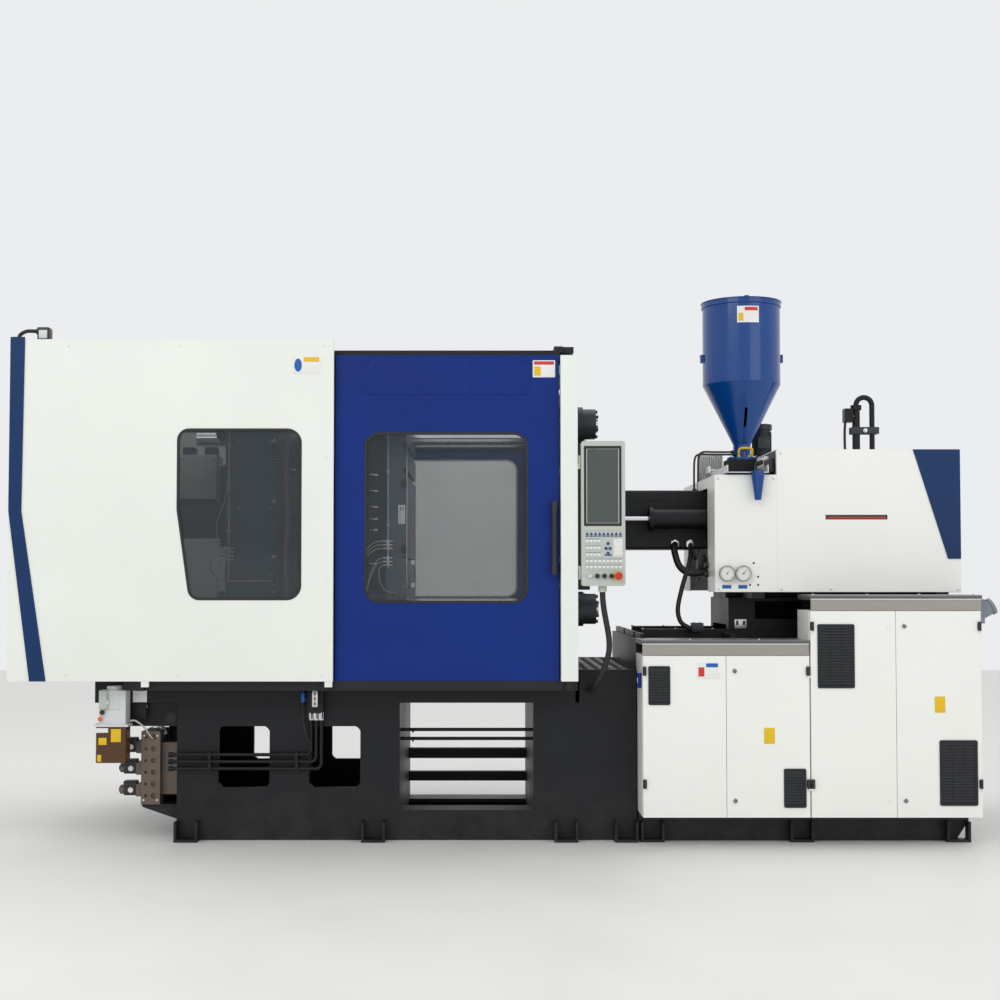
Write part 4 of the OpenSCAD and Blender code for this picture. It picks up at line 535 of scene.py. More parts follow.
def seal_ring(name, body, outline_of, y_front, y_back):
    """A rubber seal round a window: outline_of(grow) gives its outline at a distance from the opening."""
    half = bpy.context.scene.machine_sizes.seal_width / 2
    Shape("rubber").frame(outline_of(half), outline_of(-half), y_front, y_back).piece(name, body)


def guard_window_outline(grow):
    """The guard window, seen from the front."""
    left, right, low, high = -1.451 - grow, -0.9 + grow, 1.112 - grow, 1.875 + grow
    return rounded([(-1.395 - grow * 0.7, low), (right, low), (right, high), (left, high), (left, 1.513)],
                   [0.048 + grow, 0.06 + grow, 0.06 + grow, 0.048 + grow, 0.04], 10)


def door_window_outline(grow):
    """The sliding door's window, seen from the front."""
    return rect(-0.608 - grow, 1.099 - grow, 0.123 + grow, 1.862 + grow, 0.06 + grow, 10)


class MACHINE_OT_seals(bpy.types.Operator):
    """Rubber seals round the windows"""

    bl_idname = "machine.seals"
    bl_label = "Window seals"

    def execute(self, context):
        seal_ring("guard_window_seal", "frame", guard_window_outline, -0.7515, -0.7462)
        seal_ring("front_door_seal", "front_door", door_window_outline, -0.7116, -0.7062)
        seal_ring("rear_door_seal", "rear_door", door_window_outline, 0.7116, 0.7062)
        return {"FINISHED"}


def label(name, body, x0, z0, x1, z1, y, base="sign_white", fields=()):
    """A blank plate with coloured fields: each field is (finish, x0, z0, x1, z1) in shares of the plate."""
    width, height = x1 - x0, z1 - z0
    shape = Shape(base).plate(rect(x0, z0, x1, z1, min(width, height) * 0.06, 3), y - 0.0012, y, 0.0003)
    for finish, a, b, c, d in fields:
        radius = min(width * (c - a), height * (d - b)) * 0.05
        field = rect(x0 + width * a, z0 + height * b, x0 + width * c, z0 + height * d, radius, 3)
        shape.use(finish).plate(field, y - 0.0016, y - 0.0012)
    shape.piece(name, body)


class MACHINE_OT_labels(bpy.types.Operator):
    """Blank plates in the colours of the photographed ones"""

    bl_idname = "machine.labels"
    bl_label = "Blank plates"

    def execute(self, context):
        plate = rect(-0.936, 2.129, -0.812, 2.208, 0.003, 3)
        shape = Shape("sign_white").plate(plate, -0.7512, -0.75, 0.0003)
        shape.use("sign_yellow").plate(rect(-0.887, 2.183, -0.817, 2.204), -0.7516, -0.7512)
        oval = [(-0.912 + 0.017 * math.cos(a), 2.168 + 0.03 * math.sin(a)) for a in around(24)]
        shape.use("sign_blue").plate(oval, -0.7516, -0.7512).piece("guard_plate", "frame")
        label("door_plate", "front_door", 0.15, 2.118, 0.252, 2.196, -0.71, "sign_white",
              (("sign_red", 0.06, 0.74, 0.94, 0.94), ("sign_yellow", 0.06, 0.1, 0.36, 0.64)))
        label("low_cabinet_plate", "low_left_door", 0.882, 0.754, 0.984, 0.828, LEAF_Y, "sign_white",
              (("sign_blue", 0.42, 0.7, 0.94, 0.94), ("sign_red", 0.08, 0.14, 0.34, 0.7)))
        label("low_cabinet_yellow", "low_right_door", 1.183, 0.464, 1.231, 0.535, LEAF_Y, "sign_yellow")
        label("tall_cabinet_yellow", "tall_right_door", 1.949, 0.603, 1.996, 0.675, LEAF_Y, "sign_yellow")
        label("gauge_plate_left", "injection_unit", 1.042, 1.157, 1.084, 1.174, COVER_Y, "sign_blue")
        label("gauge_plate_right", "injection_unit", 1.117, 1.157, 1.159, 1.174, COVER_Y, "sign_blue")
        shape = Shape()
        for finish, a0, a1, z0, z1, lift in (("sign_white", -106, -74, 2.463, 2.545, 0.0012),
                                             ("sign_red", -95, -76, 2.522, 2.539, 0.0017),
                                             ("sign_yellow", -104, -97, 2.472, 2.51, 0.0017)):
            shape.use(finish).curved_plate(HOPPER_XY, 0.193 + lift, a0, a1, z0, z1, 14)
        shape.piece("hopper_plate", "injection_unit")
        return {"FINISHED"}


class MACHINE_OT_panel_face(bpy.types.Operator):
    """The control panel's screen, bezel, keys and knobs"""

    bl_idname = "machine.panel_face"
    bl_label = "Control panel face"

    def execute(self, context):
        x0, z0, y = 0.366, 1.17, -0.764
        shape = Shape("bezel_black").frame(rect(x0 + 0.0115, z0 + 0.2695, x0 + 0.1805, z0 + 0.6305, 0.004),
                                           rect(x0 + 0.022, z0 + 0.282, x0 + 0.17, z0 + 0.618, 0.002),
                                           y - 0.0008, y + 0.004)
        screen = rect(x0 + 0.021, z0 + 0.281, x0 + 0.171, z0 + 0.619)
        shape.use("screen_dark").plate(screen, y + 0.0012, y + 0.0032).piece("panel_screen", "frame")
        rows = [(0.02, z, 4, 0.017, 0.013, 0.013) for z in (0.134, 0.165, 0.196)]
        rows += [(0.019, z, 9, 0.0186, 0.013, 0.013) for z in (0.079, 0.106)]
        rows += [(0.146, z, 3, 0.013, 0.009, 0.012) for z in (0.136, 0.156, 0.176, 0.196)]
        keys = [[(x0 + kx + i * pitch, z0 + kz, width, height) for i in range(count)]
                for kx, kz, count, pitch, width, height in rows]
        rim = 0.0002
        shape = Shape("dial_white")
        for x, z, width, height in sum(keys, []):
            top = (x + width + rim, y - 0.0019, z + height + rim)
            shape.block((x - rim, y - 0.0034, z - rim), top, 0.0006)
        shape.block((x0 + 0.143, y - 0.0016, z0 + 0.132), (x0 + 0.184, y, z0 + 0.212), 0.0004)
        shape.use("key_blue")
        for x, z, width, height in sum(keys[:5], []):
            shape.block((x, y - 0.0012, z + height + 0.0012), (x + width, y, z + height + 0.0034), 0.0002)
        for x in (x0 + 0.0255 + i * 0.0186 for i in range(9)):
            shape.plate([(x - 0.0068, z0 + 0.2275), (x + 0.0068, z0 + 0.2275), (x + 0.0016, z0 + 0.2405),
                         (x - 0.0016, z0 + 0.2405)], y - 0.0034, y - 0.0018)
            shape.block((x - 0.0075, y - 0.0012, z0 + 0.2215), (x + 0.0075, y, z0 + 0.2245), 0.0002)
        for kx in (0.108, 0.119, 0.13):
            shape.stud((x0 + kx, y, z0 + 0.139), 0.0022, 0.0042, bevel=0.0004)
        for kx, kz in ((0.119, 0.191), (0.11, 0.169), (0.128, 0.169), (0.119, 0.147)):
            shape.stud((x0 + kx, y - 0.0029, z0 + kz), 0.0017, 0.0072, bevel=0.0006)
        shape.use("handle_black")
        z = z0 + 0.045
        for x in (x0 + 0.07, x0 + 0.102, x0 + 0.134):
            shape.stud((x, y, z), 0.015, 0.0114, 0.0106, bevel=0.0008)
            shape.block((x - 0.0022, y - 0.018, z - 0.01), (x + 0.0022, y - 0.0145, z + 0.01), 0.0008)
        shape.use("bright_steel").stud((x0 + 0.037, y, z), 0.0088, 0.0113, 0.0104, bevel=0.0008)
        shape.use("sign_yellow").stud((x0 + 0.165, y, z), 0.001, 0.0215)
        shape.use("panel_grey")
        for low, high in ((0.068, 0.0715), (0.2485, 0.251)):
            shape.block((x0 + 0.012, y - 0.0012, z0 + low), (x0 + 0.185, y, z0 + high), 0.0004)
        shape.piece("panel_keys", "frame")
        shape = Shape("stop_red").stud((x0 + 0.165, y - 0.0275, z), 0.0015, 0.015, 0.0125, bevel=0.0006)
        shape.piece("stop_cap", "stop_button")
        return {"FINISHED"}


# Cabinets and the injection cover


VENTS = (("low_left_door", 0.668, 0.76, 0.64, 0.808), ("low_right_door", 1.273, 1.367, 0.182, 0.35),
         ("tall_left_door", 1.428, 1.588, 0.715, 0.996), ("tall_right_door", 1.971, 2.135, 0.191, 0.477))
LOCKS = (("low_right_door", 1.0525, (0.21, 0.789)), ("tall_right_door", 1.815, (0.21, 0.99)))
HINGES = (("low_left_door", 0.648, 0.857), ("low_right_door", 1.381, 0.857),
          ("tall_left_door", 1.401, 1.058), ("tall_right_door", 2.153, 1.058))


class MACHINE_OT_vents(bpy.types.Operator):
    """Dark louvred grilles on the cabinet doors"""

    bl_idname = "machine.vents"
    bl_label = "Louvred vents"

    def execute(self, context):
        y, rim, slat_pitch, slat_angle = LEAF_Y, 0.006, 0.0132, 38
        for body, x0, x1, z0, z1 in VENTS:
            shape = Shape("vent_dark").frame(rect(x0 - 0.003, z0 - 0.003, x1 + 0.003, z1 + 0.003, 0.008),
                                             rect(x0 + 0.009, z0 + 0.009, x1 - 0.009, z1 - 0.009, 0.003),
                                             y - 0.0045, y + 0.002)
            low, high = z0 + rim, z1 - rim
            # Painted shade: a black sheet behind the slats stands in for the shaded cabinet interior seen
            # through the louvre openings.
            shape.use("bezel_black").block((x0 + rim, y - 0.0016, low), (x1 - rim, y + 0.001, high), 0)
            shape.use("vent_dark")
            turn = Matrix.Rotation(math.radians(slat_angle), 3, "X")
            z = z0 + 0.013
            while z < z1 - 0.01:
                before = len(shape.bm.verts)
                shape.block((x0 + 0.009, -0.0036, -0.001), (x1 - 0.009, 0.0036, 0.001), 0.0003)
                shape.bm.verts.ensure_lookup_table()
                slat = shape.bm.verts[before:]
                bmesh.ops.rotate(shape.bm, cent=(0, 0, 0), matrix=turn, verts=slat)
                bmesh.ops.translate(shape.bm, vec=(0, y - 0.0022, z), verts=slat)
                z += slat_pitch
            for x in (x0 + 0.0035, x1 - 0.0035):
                for z in (z0 + 0.0035, z1 - 0.0035):
                    shape.stud((x, y - 0.003, z), 0.0022, 0.0028, bevel=0.0004)
            for x in (x0 + (x1 - x0) * k / 3 for k in (1, 2)):
                shape.block((x - 0.0014, y - 0.004, low), (x + 0.0014, y + 0.001, high), 0.0004)
            shape.piece(f"{body}_vent", body)
        return {"FINISHED"}


class MACHINE_OT_door_fittings(bpy.types.Operator):
    """Locks and hinges of the cabinet doors"""

    bl_idname = "machine.door_fittings"
    bl_label = "Locks and hinges"

    def execute(self, context):
        y = LEAF_Y
        for body, x, heights in LOCKS:
            shape = Shape()
            for z in heights:
                shape.use("bright_steel").stud((x, y, z), 0.0042, 0.0125, 0.0115, bevel=0.0006)
                shape.use("rubber").stud((x, y - 0.004, z), 0.0012, 0.0082)
                slot = (x - 0.0058, y - 0.0062, z - 0.0013), (x + 0.0058, y - 0.0045, z + 0.0013)
                shape.use("bright_steel").block(*slot, 0.0004)
            shape.piece(f"{body}_locks", body)
        for body, x, top in HINGES:
            shape = Shape("handle_black")
            for z in (0.265, top - 0.088):
                shape.rod((x, -0.757, z - 0.0005), (x, -0.757, z + 0.0405), 0.0074, bevel=0.0008)
                shape.block((x - 0.009, y - 0.003, z + 0.004), (x + 0.009, y + 0.0002, z + 0.036), 0.0008)
            shape.piece(f"{body}_hinges", body)
        return {"FINISHED"}


class MACHINE_OT_gauges(bpy.types.Operator):
    """Dials, needles and glasses of the two pressure gauges"""

    bl_idname = "machine.gauges"
    bl_label = "Pressure gauges"

    def execute(self, context):
        z, y = 1.228, -0.528
        for side, x, needle in (("left", 1.062, 42), ("right", 1.138, 38)):
            shape = Shape("heater_steel").ring((x, y + 0.0006, z), (0, 1, 0), 0.0346, 0.003)
            shape.stud((x, y + 0.02, z), 0.017, 0.0374, sides=48, bevel=0.0006)
            shape.use("dial_white").stud((x, y + 0.0029, z), 0.0007, 0.0325, sides=48)
            shape.use("rubber")
            centre = Vector((x, z))
            for k in range(21):
                a = math.radians(225 - 13.5 * k)
                start, half = (0.0235, 0.0008) if k % 5 == 0 else (0.0258, 0.0005)
                out, across = Vector((math.cos(a), math.sin(a))), Vector((-math.sin(a), math.cos(a))) * half
                inner, outer = centre + out * start, centre + out * 0.0292
                mark = [inner - across, outer - across, outer + across, inner + across]
                shape.plate(mark, y + 0.0018, y + 0.0024)
            a = math.radians(90 - needle)
            tail, tip = ((x + r * math.cos(a), y + 0.0014, z + r * math.sin(a)) for r in (-0.008, 0.025))
            shape.rod(tail, tip, 0.0014, 0.0004, sides=8)
            shape.stud((x, y + 0.0024, z), 0.0016, 0.004).piece(f"gauge_face_{side}", "injection_unit")
            glass = Shape("gauge_glass").stud((x, y + 0.0002, z), 0.0008, 0.033, sides=48)
            glass.piece(f"gauge_glass_{side}", "injection_unit")
        return {"FINISHED"}


class MACHINE_OT_cover_fittings(bpy.types.Operator):
    """Screws and seams of the injection cover, its scale and the caps of the panel's bracket"""

    bl_idname = "machine.cover_fittings"
    bl_label = "Cover fittings"

    def execute(self, context):
        shape = Shape("bright_steel")
        for side in (-1, 1):
            for x, z in ((1.025, 1.155), (1.025, 1.672), (1.285, 1.672), (1.318, 1.792), (2.142, 1.155),
                         (1.55, 1.155), (1.318, 1.155)):
                shape.screw((x, side * 0.5, z), (0, side, 0), 0.0055, 0.003)
        shape.piece("cover_screws", "injection_unit")
        shape = Shape("cabinet_white").block((1.3008, -0.5006, 1.146), (1.3022, -0.4998, 1.688), 0.0002)
        shape.use("rubber").block((1.0095, -0.5003, 1.1398), (2.157, -0.494, 1.1412), 0.0003)
        shape.piece("cover_seams", "injection_unit")
        shape = Shape("rubber").block((1.53, -0.4935, 1.4805), (1.814, -0.4905, 1.5015), 0.0005)
        shape.use("sign_red").block((1.5315, -0.4965, 1.4845), (1.8125, -0.4934, 1.4905), 0.0004)
        shape.use("bright_steel")
        for k in range(29):
            x = 1.534 + k * 0.0097
            shape.block((x, -0.4968, 1.4915), (x + 0.0012, -0.495, 1.4985 if k % 5 else 1.5005), 0)
        shape.piece("screw_scale", "injection_unit")
        shape = Shape("handle_black")
        for z in (1.225, 1.745):
            shape.block((0.352, -0.7405, z - 0.022), (0.3545, -0.7195, z + 0.022), 0.0006)
        shape.piece("panel_bracket_caps", "frame")
        return {"FINISHED"}


# What shows of the clamp behind the windows


class MACHINE_OT_rear_platen_fittings(bpy.types.Operator):
    """Cover plate, lubrication pipes, cable chain and valve block at the rear platen"""

    bl_idname = "machine.rear_platen_fittings"
    bl_label = "Rear platen fittings"

    def execute(self, context):
        y = SIDE_Y
        thin = context.scene.machine_sizes.thin_hose
        for side, name in ((1, "front"), (-1, "rear")):
            face = side * (y - 0.004)
            shape = Shape("platen_slate").block((-1.229, side * y, 1.206), (-1.056, face, 1.862), 0.0012)
            shape.use("bright_steel")
            shape.screws((-1.217, -1.068), (face,), (1.222, 1.534, 1.846), (0, -side, 0), 0.005, 0.003)
            shape.piece(f"platen_plate_{name}", "rear_unit")
        shape = Shape("hose_clear").hose([(-1.262, y - 0.008, 2.05), (-1.262, y - 0.008, 1.36)], 0.0042, 8, 5)
        shape.hose([(x, y - 0.008, z) for x, z in (
            (-1.262, 1.285), (-1.262, 1.2), (-1.256, 1.192), (-1.15, 1.192), (-1.058, 1.192), (-1.052, 1.186),
            (-1.052, 1.136))], 0.0042, 8, 5)
        shape.use("aluminium")
        for z in (1.42, 1.62, 1.82, 2.0):
            shape.block((-1.27, y - 0.0135, z), (-1.254, y, z + 0.01))
        shape.block((-1.268, y - 0.016, 1.284), (-1.256, y, 1.354))
        for z in (1.293 + 0.0172 * k for k in range(4)):
            shape.rod((-1.285, y - 0.009, z), (-1.239, y - 0.009, z), 0.0042, sides=12)
            shape.use("brass").nut((-1.288, y - 0.009, z), (-1.283, y - 0.009, z), 0.0048, 0)
            shape.use("aluminium")
        shape.use("hose_clear")
        shape.hose([(-1.287, y - 0.009, 1.3446), (-1.312, y - 0.01, 1.37), (-1.318, y - 0.008, 1.46),
                    (-1.285, y - 0.008, 1.56), (-1.266, y - 0.01, 1.66)], thin, 6)
        shape.hose([(-1.287, y - 0.009, 1.3102), (-1.325, y - 0.004, 1.3), (-1.36, y + 0.05, 1.255),
                    (-1.33, y + 0.12, 1.2), (-1.28, y + 0.14, 1.19)], thin, 6)
        shape.hose([(-1.287, y - 0.009, 1.293), (-1.312, y - 0.008, 1.26), (-1.314, y - 0.006, 1.16),
                    (-1.3, y - 0.004, 1.05), (-1.29, y + 0.02, 1.0), (-1.279, y + 0.03, 0.98)], thin, 6)
        shape.piece("rear_platen_pipes", "rear_unit")
        shape = Shape("rubber")
        x = -1.0515
        for z in (1.15 + 0.0136 * k for k in range(52)):
            shape.rod((x, y - 0.0085, z), (x, y - 0.0085, z + 0.0095), 0.0062, sides=10)
        shape.use("aluminium").rod((x, y - 0.0085, 1.142), (x, y - 0.0085, 1.862), 0.0046, sides=10)
        for z in (1.3, 1.56, 1.84):
            shape.block((-1.062, y - 0.016, z), (-1.041, y, z + 0.012))
        shape.piece("platen_conduit", "rear_unit")
        shape = Shape("hose_pink").hose(
            [(-1.033, -0.47, 2.02), (-1.004, -0.472, 2.00), (-0.996, -0.474, 1.85), (-1.002, -0.47, 1.7),
             (-0.992, -0.472, 1.5), (-1.000, -0.474, 1.3), (-0.995, -0.47, 1.1), (-1.002, -0.472, 0.95),
             (-1.033, -0.47, 0.93)], 0.0125, 12)
        shape.use("aluminium")
        for z in (2.018, 0.928):
            shape.nut((-1.036, -0.47, z), (-1.026, -0.47, z), 0.017, 0)
        shape.piece("lubrication_hose", "rear_unit")
        shape = Shape("rubber")
        for z in (1.356 + 0.0151 * k for k in range(25)):
            shape.block((-1.313, -0.465, z), (-1.2805, -0.425, z + 0.0122), 0.002)
        shape.block((-1.304, -0.46, 1.356), (-1.289, -0.43, 1.732))
        shape.use("aluminium").block((-1.316, -0.468, 1.732), (-1.2799, -0.422, 1.744))
        shape.piece("cable_chain", "rear_unit")
        shape = Shape("pump_grey").block((-1.583, -0.09, 1.6), (-1.395, 0.09, 1.82), 0.004)
        shape.use("cast_dark").block((-1.56, -0.075, 1.59), (-1.418, 0.075, 1.601), 0.002)
        for x in (-1.545, -1.435):
            shape.use("handle_black").block((x - 0.03, -0.04, 1.82), (x + 0.03, 0.04, 1.862), 0.004)
            shape.use("bright_steel").screws((x - 0.022, x + 0.022), (0,), (1.862,), UP, 0.005, 0.003)
        for side in (-1, 1):
            shape.screws((-1.57, -1.408), (0.09 * side,), (1.625, 1.8), (0, side, 0), 0.006, 0.004)
        shape.piece("valve_block", "rear_unit")
        return {"FINISHED"}


class MACHINE_OT_moving_platen_fittings(bpy.types.Operator):
    """Bolts, distributors, latches and pipes at the moving platen"""

    bl_idname = "machine.moving_platen_fittings"
    bl_label = "Moving platen fittings"

    def execute(self, context):
        y = SIDE_Y
        thin = context.scene.machine_sizes.thin_hose
        for side, name in ((1, "front"), (-1, "rear")):
            shape = Shape()
            stud_y = side * (y - 0.005)
            for z in (1.272, 1.431, 1.482, 1.538, 1.613, 1.688):
                shape.use("bright_steel")
                shape.rod((-0.608, stud_y, z), (-0.566, stud_y, z), 0.005, sides=14, bevel=0.0006)
                lug = (-0.614, side * y, z - 0.009), (-0.606, side * (y - 0.011), z + 0.009)
                shape.use("cast_dark").block(*lug)
            shape.piece(f"platen_studs_{name}", "moving_unit")
        pipe_y = y - 0.009
        shape = Shape("aluminium").tube([(-0.519, y - 0.008, 2.0), (-0.519, y - 0.008, 1.25)], 0.003, 8)
        for base in (1.266, 1.344):
            shape.block((-0.525, y - 0.015, base - 0.006), (-0.513, y, base + 0.042))
            for z in (base + 0.017 * k for k in range(3)):
                shape.use("aluminium").rod((-0.54, pipe_y, z), (-0.497, pipe_y, z), 0.0042, sides=12)
                shape.use("brass").nut((-0.544, pipe_y, z), (-0.539, pipe_y, z), 0.0048, 0)
                shape.nut((-0.499, pipe_y, z), (-0.495, pipe_y, z), 0.0048, 0)
            shape.use("aluminium")
        for z in (1.45, 1.7, 1.95):
            shape.block((-0.526, y - 0.012, z), (-0.512, y, z + 0.008))
        shape.use("hose_clear")
        for k in range(3):
            z = 1.344 + 0.017 * k
            shape.hose([(-0.543, pipe_y, z), (-0.575, pipe_y, z - 0.004), (-0.61, y - 0.008, z - 0.028),
                        (-0.64, y - 0.004, z - 0.06 - 0.01 * k), (-0.655, y + 0.002, z - 0.09)], thin, 6)
        for z in (1.283, 1.3):
            shape.hose([(-0.543, pipe_y, z), (-0.572, pipe_y, z - 0.015), (-0.602, y - 0.008, z - 0.08),
                        (-0.62, y - 0.006, z - 0.16), (-0.634, y + 0.002, z - 0.25)], thin, 6)
        shape.hose([(-0.543, pipe_y, 1.266), (-0.56, pipe_y, 1.245), (-0.556, y - 0.008, 1.19),
                    (-0.53, y - 0.008, 1.148), (-0.488, y - 0.006, 1.136)], thin, 6)
        shape.use("brass").ball((-0.486, y - 0.005, 1.136), 0.0075)
        shape.piece("moving_platen_pipes", "moving_unit")
        shape = Shape()
        for z in (1.342, 1.65):
            shape.use("handle_black").block((-0.458, y - 0.012, z - 0.018), (-0.44, y, z + 0.018), 0.002)
            shape.block((-0.452, y - 0.018, z - 0.01), (-0.436, y - 0.01, z + 0.01), 0.002)
            shape.rod((-0.437, y - 0.012, z - 0.02), (-0.437, y - 0.012, z + 0.02), 0.0032, sides=12)
        shape.use("dial_white").block((-0.472, y - 0.003, 1.459), (-0.439, y, 1.548))
        shape.use("sign_blue")
        for x in (-0.4625, -0.4515):
            shape.block((x, y - 0.0036, 1.52), (x + 0.004, y - 0.0028, 1.538), 0.0002)
        shape.use("key_grey")
        for z in (1.466 + 0.011 * k for k in range(4)):
            shape.block((-0.466, y - 0.0036, z), (-0.446, y - 0.0028, z + 0.0035), 0.0002)
        shape.piece("platen_latches", "moving_unit")
        shape = Shape("aluminium")
        for side in (-1, 1):
            shape.block((-0.4337, side * 0.47, 1.127), (-0.4297, side * 0.499, 1.828), 0.0008)
        shape.piece("platen_wear_strips", "moving_unit")
        return {"FINISHED"}


class MACHINE_OT_rear_door_trim(bpy.types.Operator):
    """Seal, inner rail and screws of the rear door, seen through the front window"""

    bl_idname = "machine.rear_door_trim"
    bl_label = "Rear door trim"

    def execute(self, context):
        front, back = 0.6688, 0.6755
        shape = Shape("cast_dark").block((-0.735, front, 1.915), (0.255, back, 1.99), 0.002)
        shape.use("aluminium").block((-0.7, 0.664, 1.942), (0.23, 0.6695, 1.958))
        shape.use("cast_dark")
        for x in (-0.735, 0.165):
            shape.block((x, front, 1.00), (x + 0.06, back, 1.914), 0.002)
        shape.block((-0.735, front, 0.94), (0.255, back, 0.999), 0.002)
        shape.use("bright_steel")
        shape.screws((-0.705, 0.195), (front,), (1.03, 1.33, 1.63, 1.88), (0, -1, 0), 0.006, 0.004)
        shape.piece("rear_door_stiffeners", "rear_door")
        shape = Shape("rubber").frame(rect(-0.616, 1.091, 0.131, 1.87, 0.066),
                                      rect(-0.598, 1.109, 0.113, 1.852, 0.052), 0.7062, 0.7135)
        shape.piece("rear_window_seal", "rear_door")
        return {"FINISHED"}


# Injection unit: hoses, hopper machinery and the drive's lines


class MACHINE_OT_hopper_fittings(bpy.types.Operator):
    """Cooling pipes, fins, loader motor and screws round the hopper"""

    bl_idname = "machine.hopper_fittings"
    bl_label = "Hopper fittings"

    def execute(self, context):
        shape = Shape("handle_black")
        end = 1.196
        for x, y, rise in ((0.986, -0.022, 1.826), (1.012, 0.018, 1.842)):
            shape.hose([(x, y, 1.641), (x, y, 1.74), (x + 0.004, y, rise - 0.022), (x + 0.026, y, rise),
                        (1.09, y, rise), (end, y, rise)], 0.0052, 12, 6)
            shape.nut((x, y, 1.638), (x, y, 1.654), 0.0105, 0)
            shape.nut((end - 0.016, y, rise), (end, y, rise), 0.0098, 0)
        shape.piece("cooling_pipes", "injection_unit")
        shape = Shape("dial_white").block((1.022, 0.098, 1.691), (1.15, 0.104, 1.842))
        shape.use("pump_grey")
        for x in (1.026 + 0.0096 * k for k in range(13)):
            shape.block((x, 0.084, 1.7), (x + 0.0042, 0.0985, 1.836), 0.0008)
        shape.use("cast_dark").block((1.018, 0.08, 1.6905), (1.154, 0.108, 1.7))
        shape.piece("cooling_fins", "injection_unit")
        x, y = 1.352, 0.11
        shape = Shape("cast_dark").rod((x, y, 1.8095), (x, y, 1.822), 0.062, sides=40, bevel=0.001)
        shape.rod((x, y, 1.822), (x, y, 1.96), 0.046, sides=40, bevel=0.003)
        for a in around(20):
            rib = (x + 0.0475 * math.cos(a), y + 0.0475 * math.sin(a))
            shape.nut((*rib, 1.832), (*rib, 1.95), 0.0026, 0)
        shape.rod((x, y, 1.96), (x, y, 1.99), 0.052, sides=40, bevel=0.003)
        shape.block((x - 0.027, 0.035, 1.862), (x + 0.027, 0.066, 1.922), 0.003)
        shape.use("handle_black").block((x - 0.02, 0.0338, 1.872), (x + 0.02, 0.0355, 1.912), 0.0006)
        shape.use("bright_steel")
        for a in around(4, math.pi / 4):
            shape.hex_bolt((x + 0.055 * math.cos(a), y + 0.055 * math.sin(a), 1.822), UP, 0.005, 0.006)
        shape.piece("loader_motor", "injection_unit")
        shape = Shape("bright_steel")
        x, y = HOPPER_XY
        for a in around(8, math.pi / 8):
            shape.hex_bolt((x + 0.061 * math.cos(a), y + 0.061 * math.sin(a), 1.811), UP, 0.0055, 0.007)
        for side in (-1, 1):
            for bolt_y, z in ((-0.008, 2.297), (0.008, 2.323)):
                shape.hex_bolt((x + side * 0.207, bolt_y, z), (side, 0, 0), 0.0035, 0.003)
        shape.piece("hopper_bolts", "injection_unit")
        shape = Shape("hopper_blue").ring((x, y, 2.5655), UP, 0.1965, 0.0024, 72, 8)
        shape.ring((x, y, 2.177), UP, 0.1926, 0.0018, 72, 8)
        shape.curved_plate(HOPPER_XY, 0.1946, 84, 88, 2.18, 2.562, 3).piece("hopper_seams", "injection_unit")
        return {"FINISHED"}


class MACHINE_OT_throat_fittings(bpy.types.Operator):
    """Bright tray, yellow grip and the machinery beside the hopper's throat"""

    bl_idname = "machine.throat_fittings"
    bl_label = "Throat fittings"

    def execute(self, context):
        shape = Shape("aluminium")
        front, back, low, top = -0.5205, -0.0755, 1.698, 1.7345
        for x in (1.0642, 1.069, 1.2532, 1.258):
            shape.block((x, front, low), (x + 0.0008, back, top), 0)
        for x in (1.0642, 1.2532):
            shape.block((x, front - 0.0003, low), (x + 0.0056, -0.5198, top), 0)
            shape.block((x, front, top - 0.0005), (x + 0.0056, back, top + 0.0005), 0)
        shape.block((1.0642, -0.521, 1.6975), (1.2588, -0.5198, 1.7022), 0)
        shape.block((1.0698, front, 1.702), (1.2532, -0.091, 1.7028), 0)
        shape.piece("tray_skin", "injection_unit")
        shape = Shape("sign_yellow").hose(
            [(1.2035, -0.054, 1.812), (1.204, -0.066, 1.842), (1.212, -0.07, 1.852), (1.237, -0.07, 1.854),
             (1.262, -0.07, 1.852), (1.27, -0.066, 1.842), (1.2705, -0.05, 1.812)], 0.006, 12)
        shape.piece("yellow_grip", "injection_unit")
        shape = Shape("cast_dark").block((1.2982, -0.48, 1.6955), (1.2998, -0.11, 1.805), 0.0004)
        shape.use("sign_white").block((1.276, -0.33, 1.72), (1.2983, -0.15, 1.792), 0.003)
        shape.use("handle_black")
        for y in (-0.3, -0.25, -0.19):
            shape.rod((1.276, y, 1.765), (1.26, y, 1.765), 0.011, sides=20, bevel=0.001)
        shape.block((1.27, -0.46, 1.705), (1.2983, -0.35, 1.77), 0.003)
        shape.use("brass").nut((1.276, -0.215, 1.735), (1.262, -0.215, 1.735), 0.008, 0)
        shape.use("bright_steel")
        shape.screws((1.276,), (-0.322, -0.158), (1.728, 1.784), (-1, 0, 0), 0.004, 0.0025)
        shape.use("rubber").hose([(1.262, -0.25, 1.765), (1.25, -0.256, 1.758), (1.244, -0.268, 1.738),
                                  (1.246, -0.3, 1.715), (1.256, -0.345, 1.706), (1.269, -0.38, 1.715)],
                                 0.0046, 8)
        shape.piece("throat_machinery", "injection_unit")
        shape = Shape("aluminium").block((1.14, -0.268, 0.9625), (1.198, -0.2622, 1.008))
        shape.use("handle_black")
        for x in (1.153, 1.185):
            shape.block((x - 0.0055, -0.2688, 0.98), (x + 0.0055, -0.2676, 1.0005), 0.0004)
        shape.piece("carriage_bracket", "injection_unit")
        return {"FINISHED"}


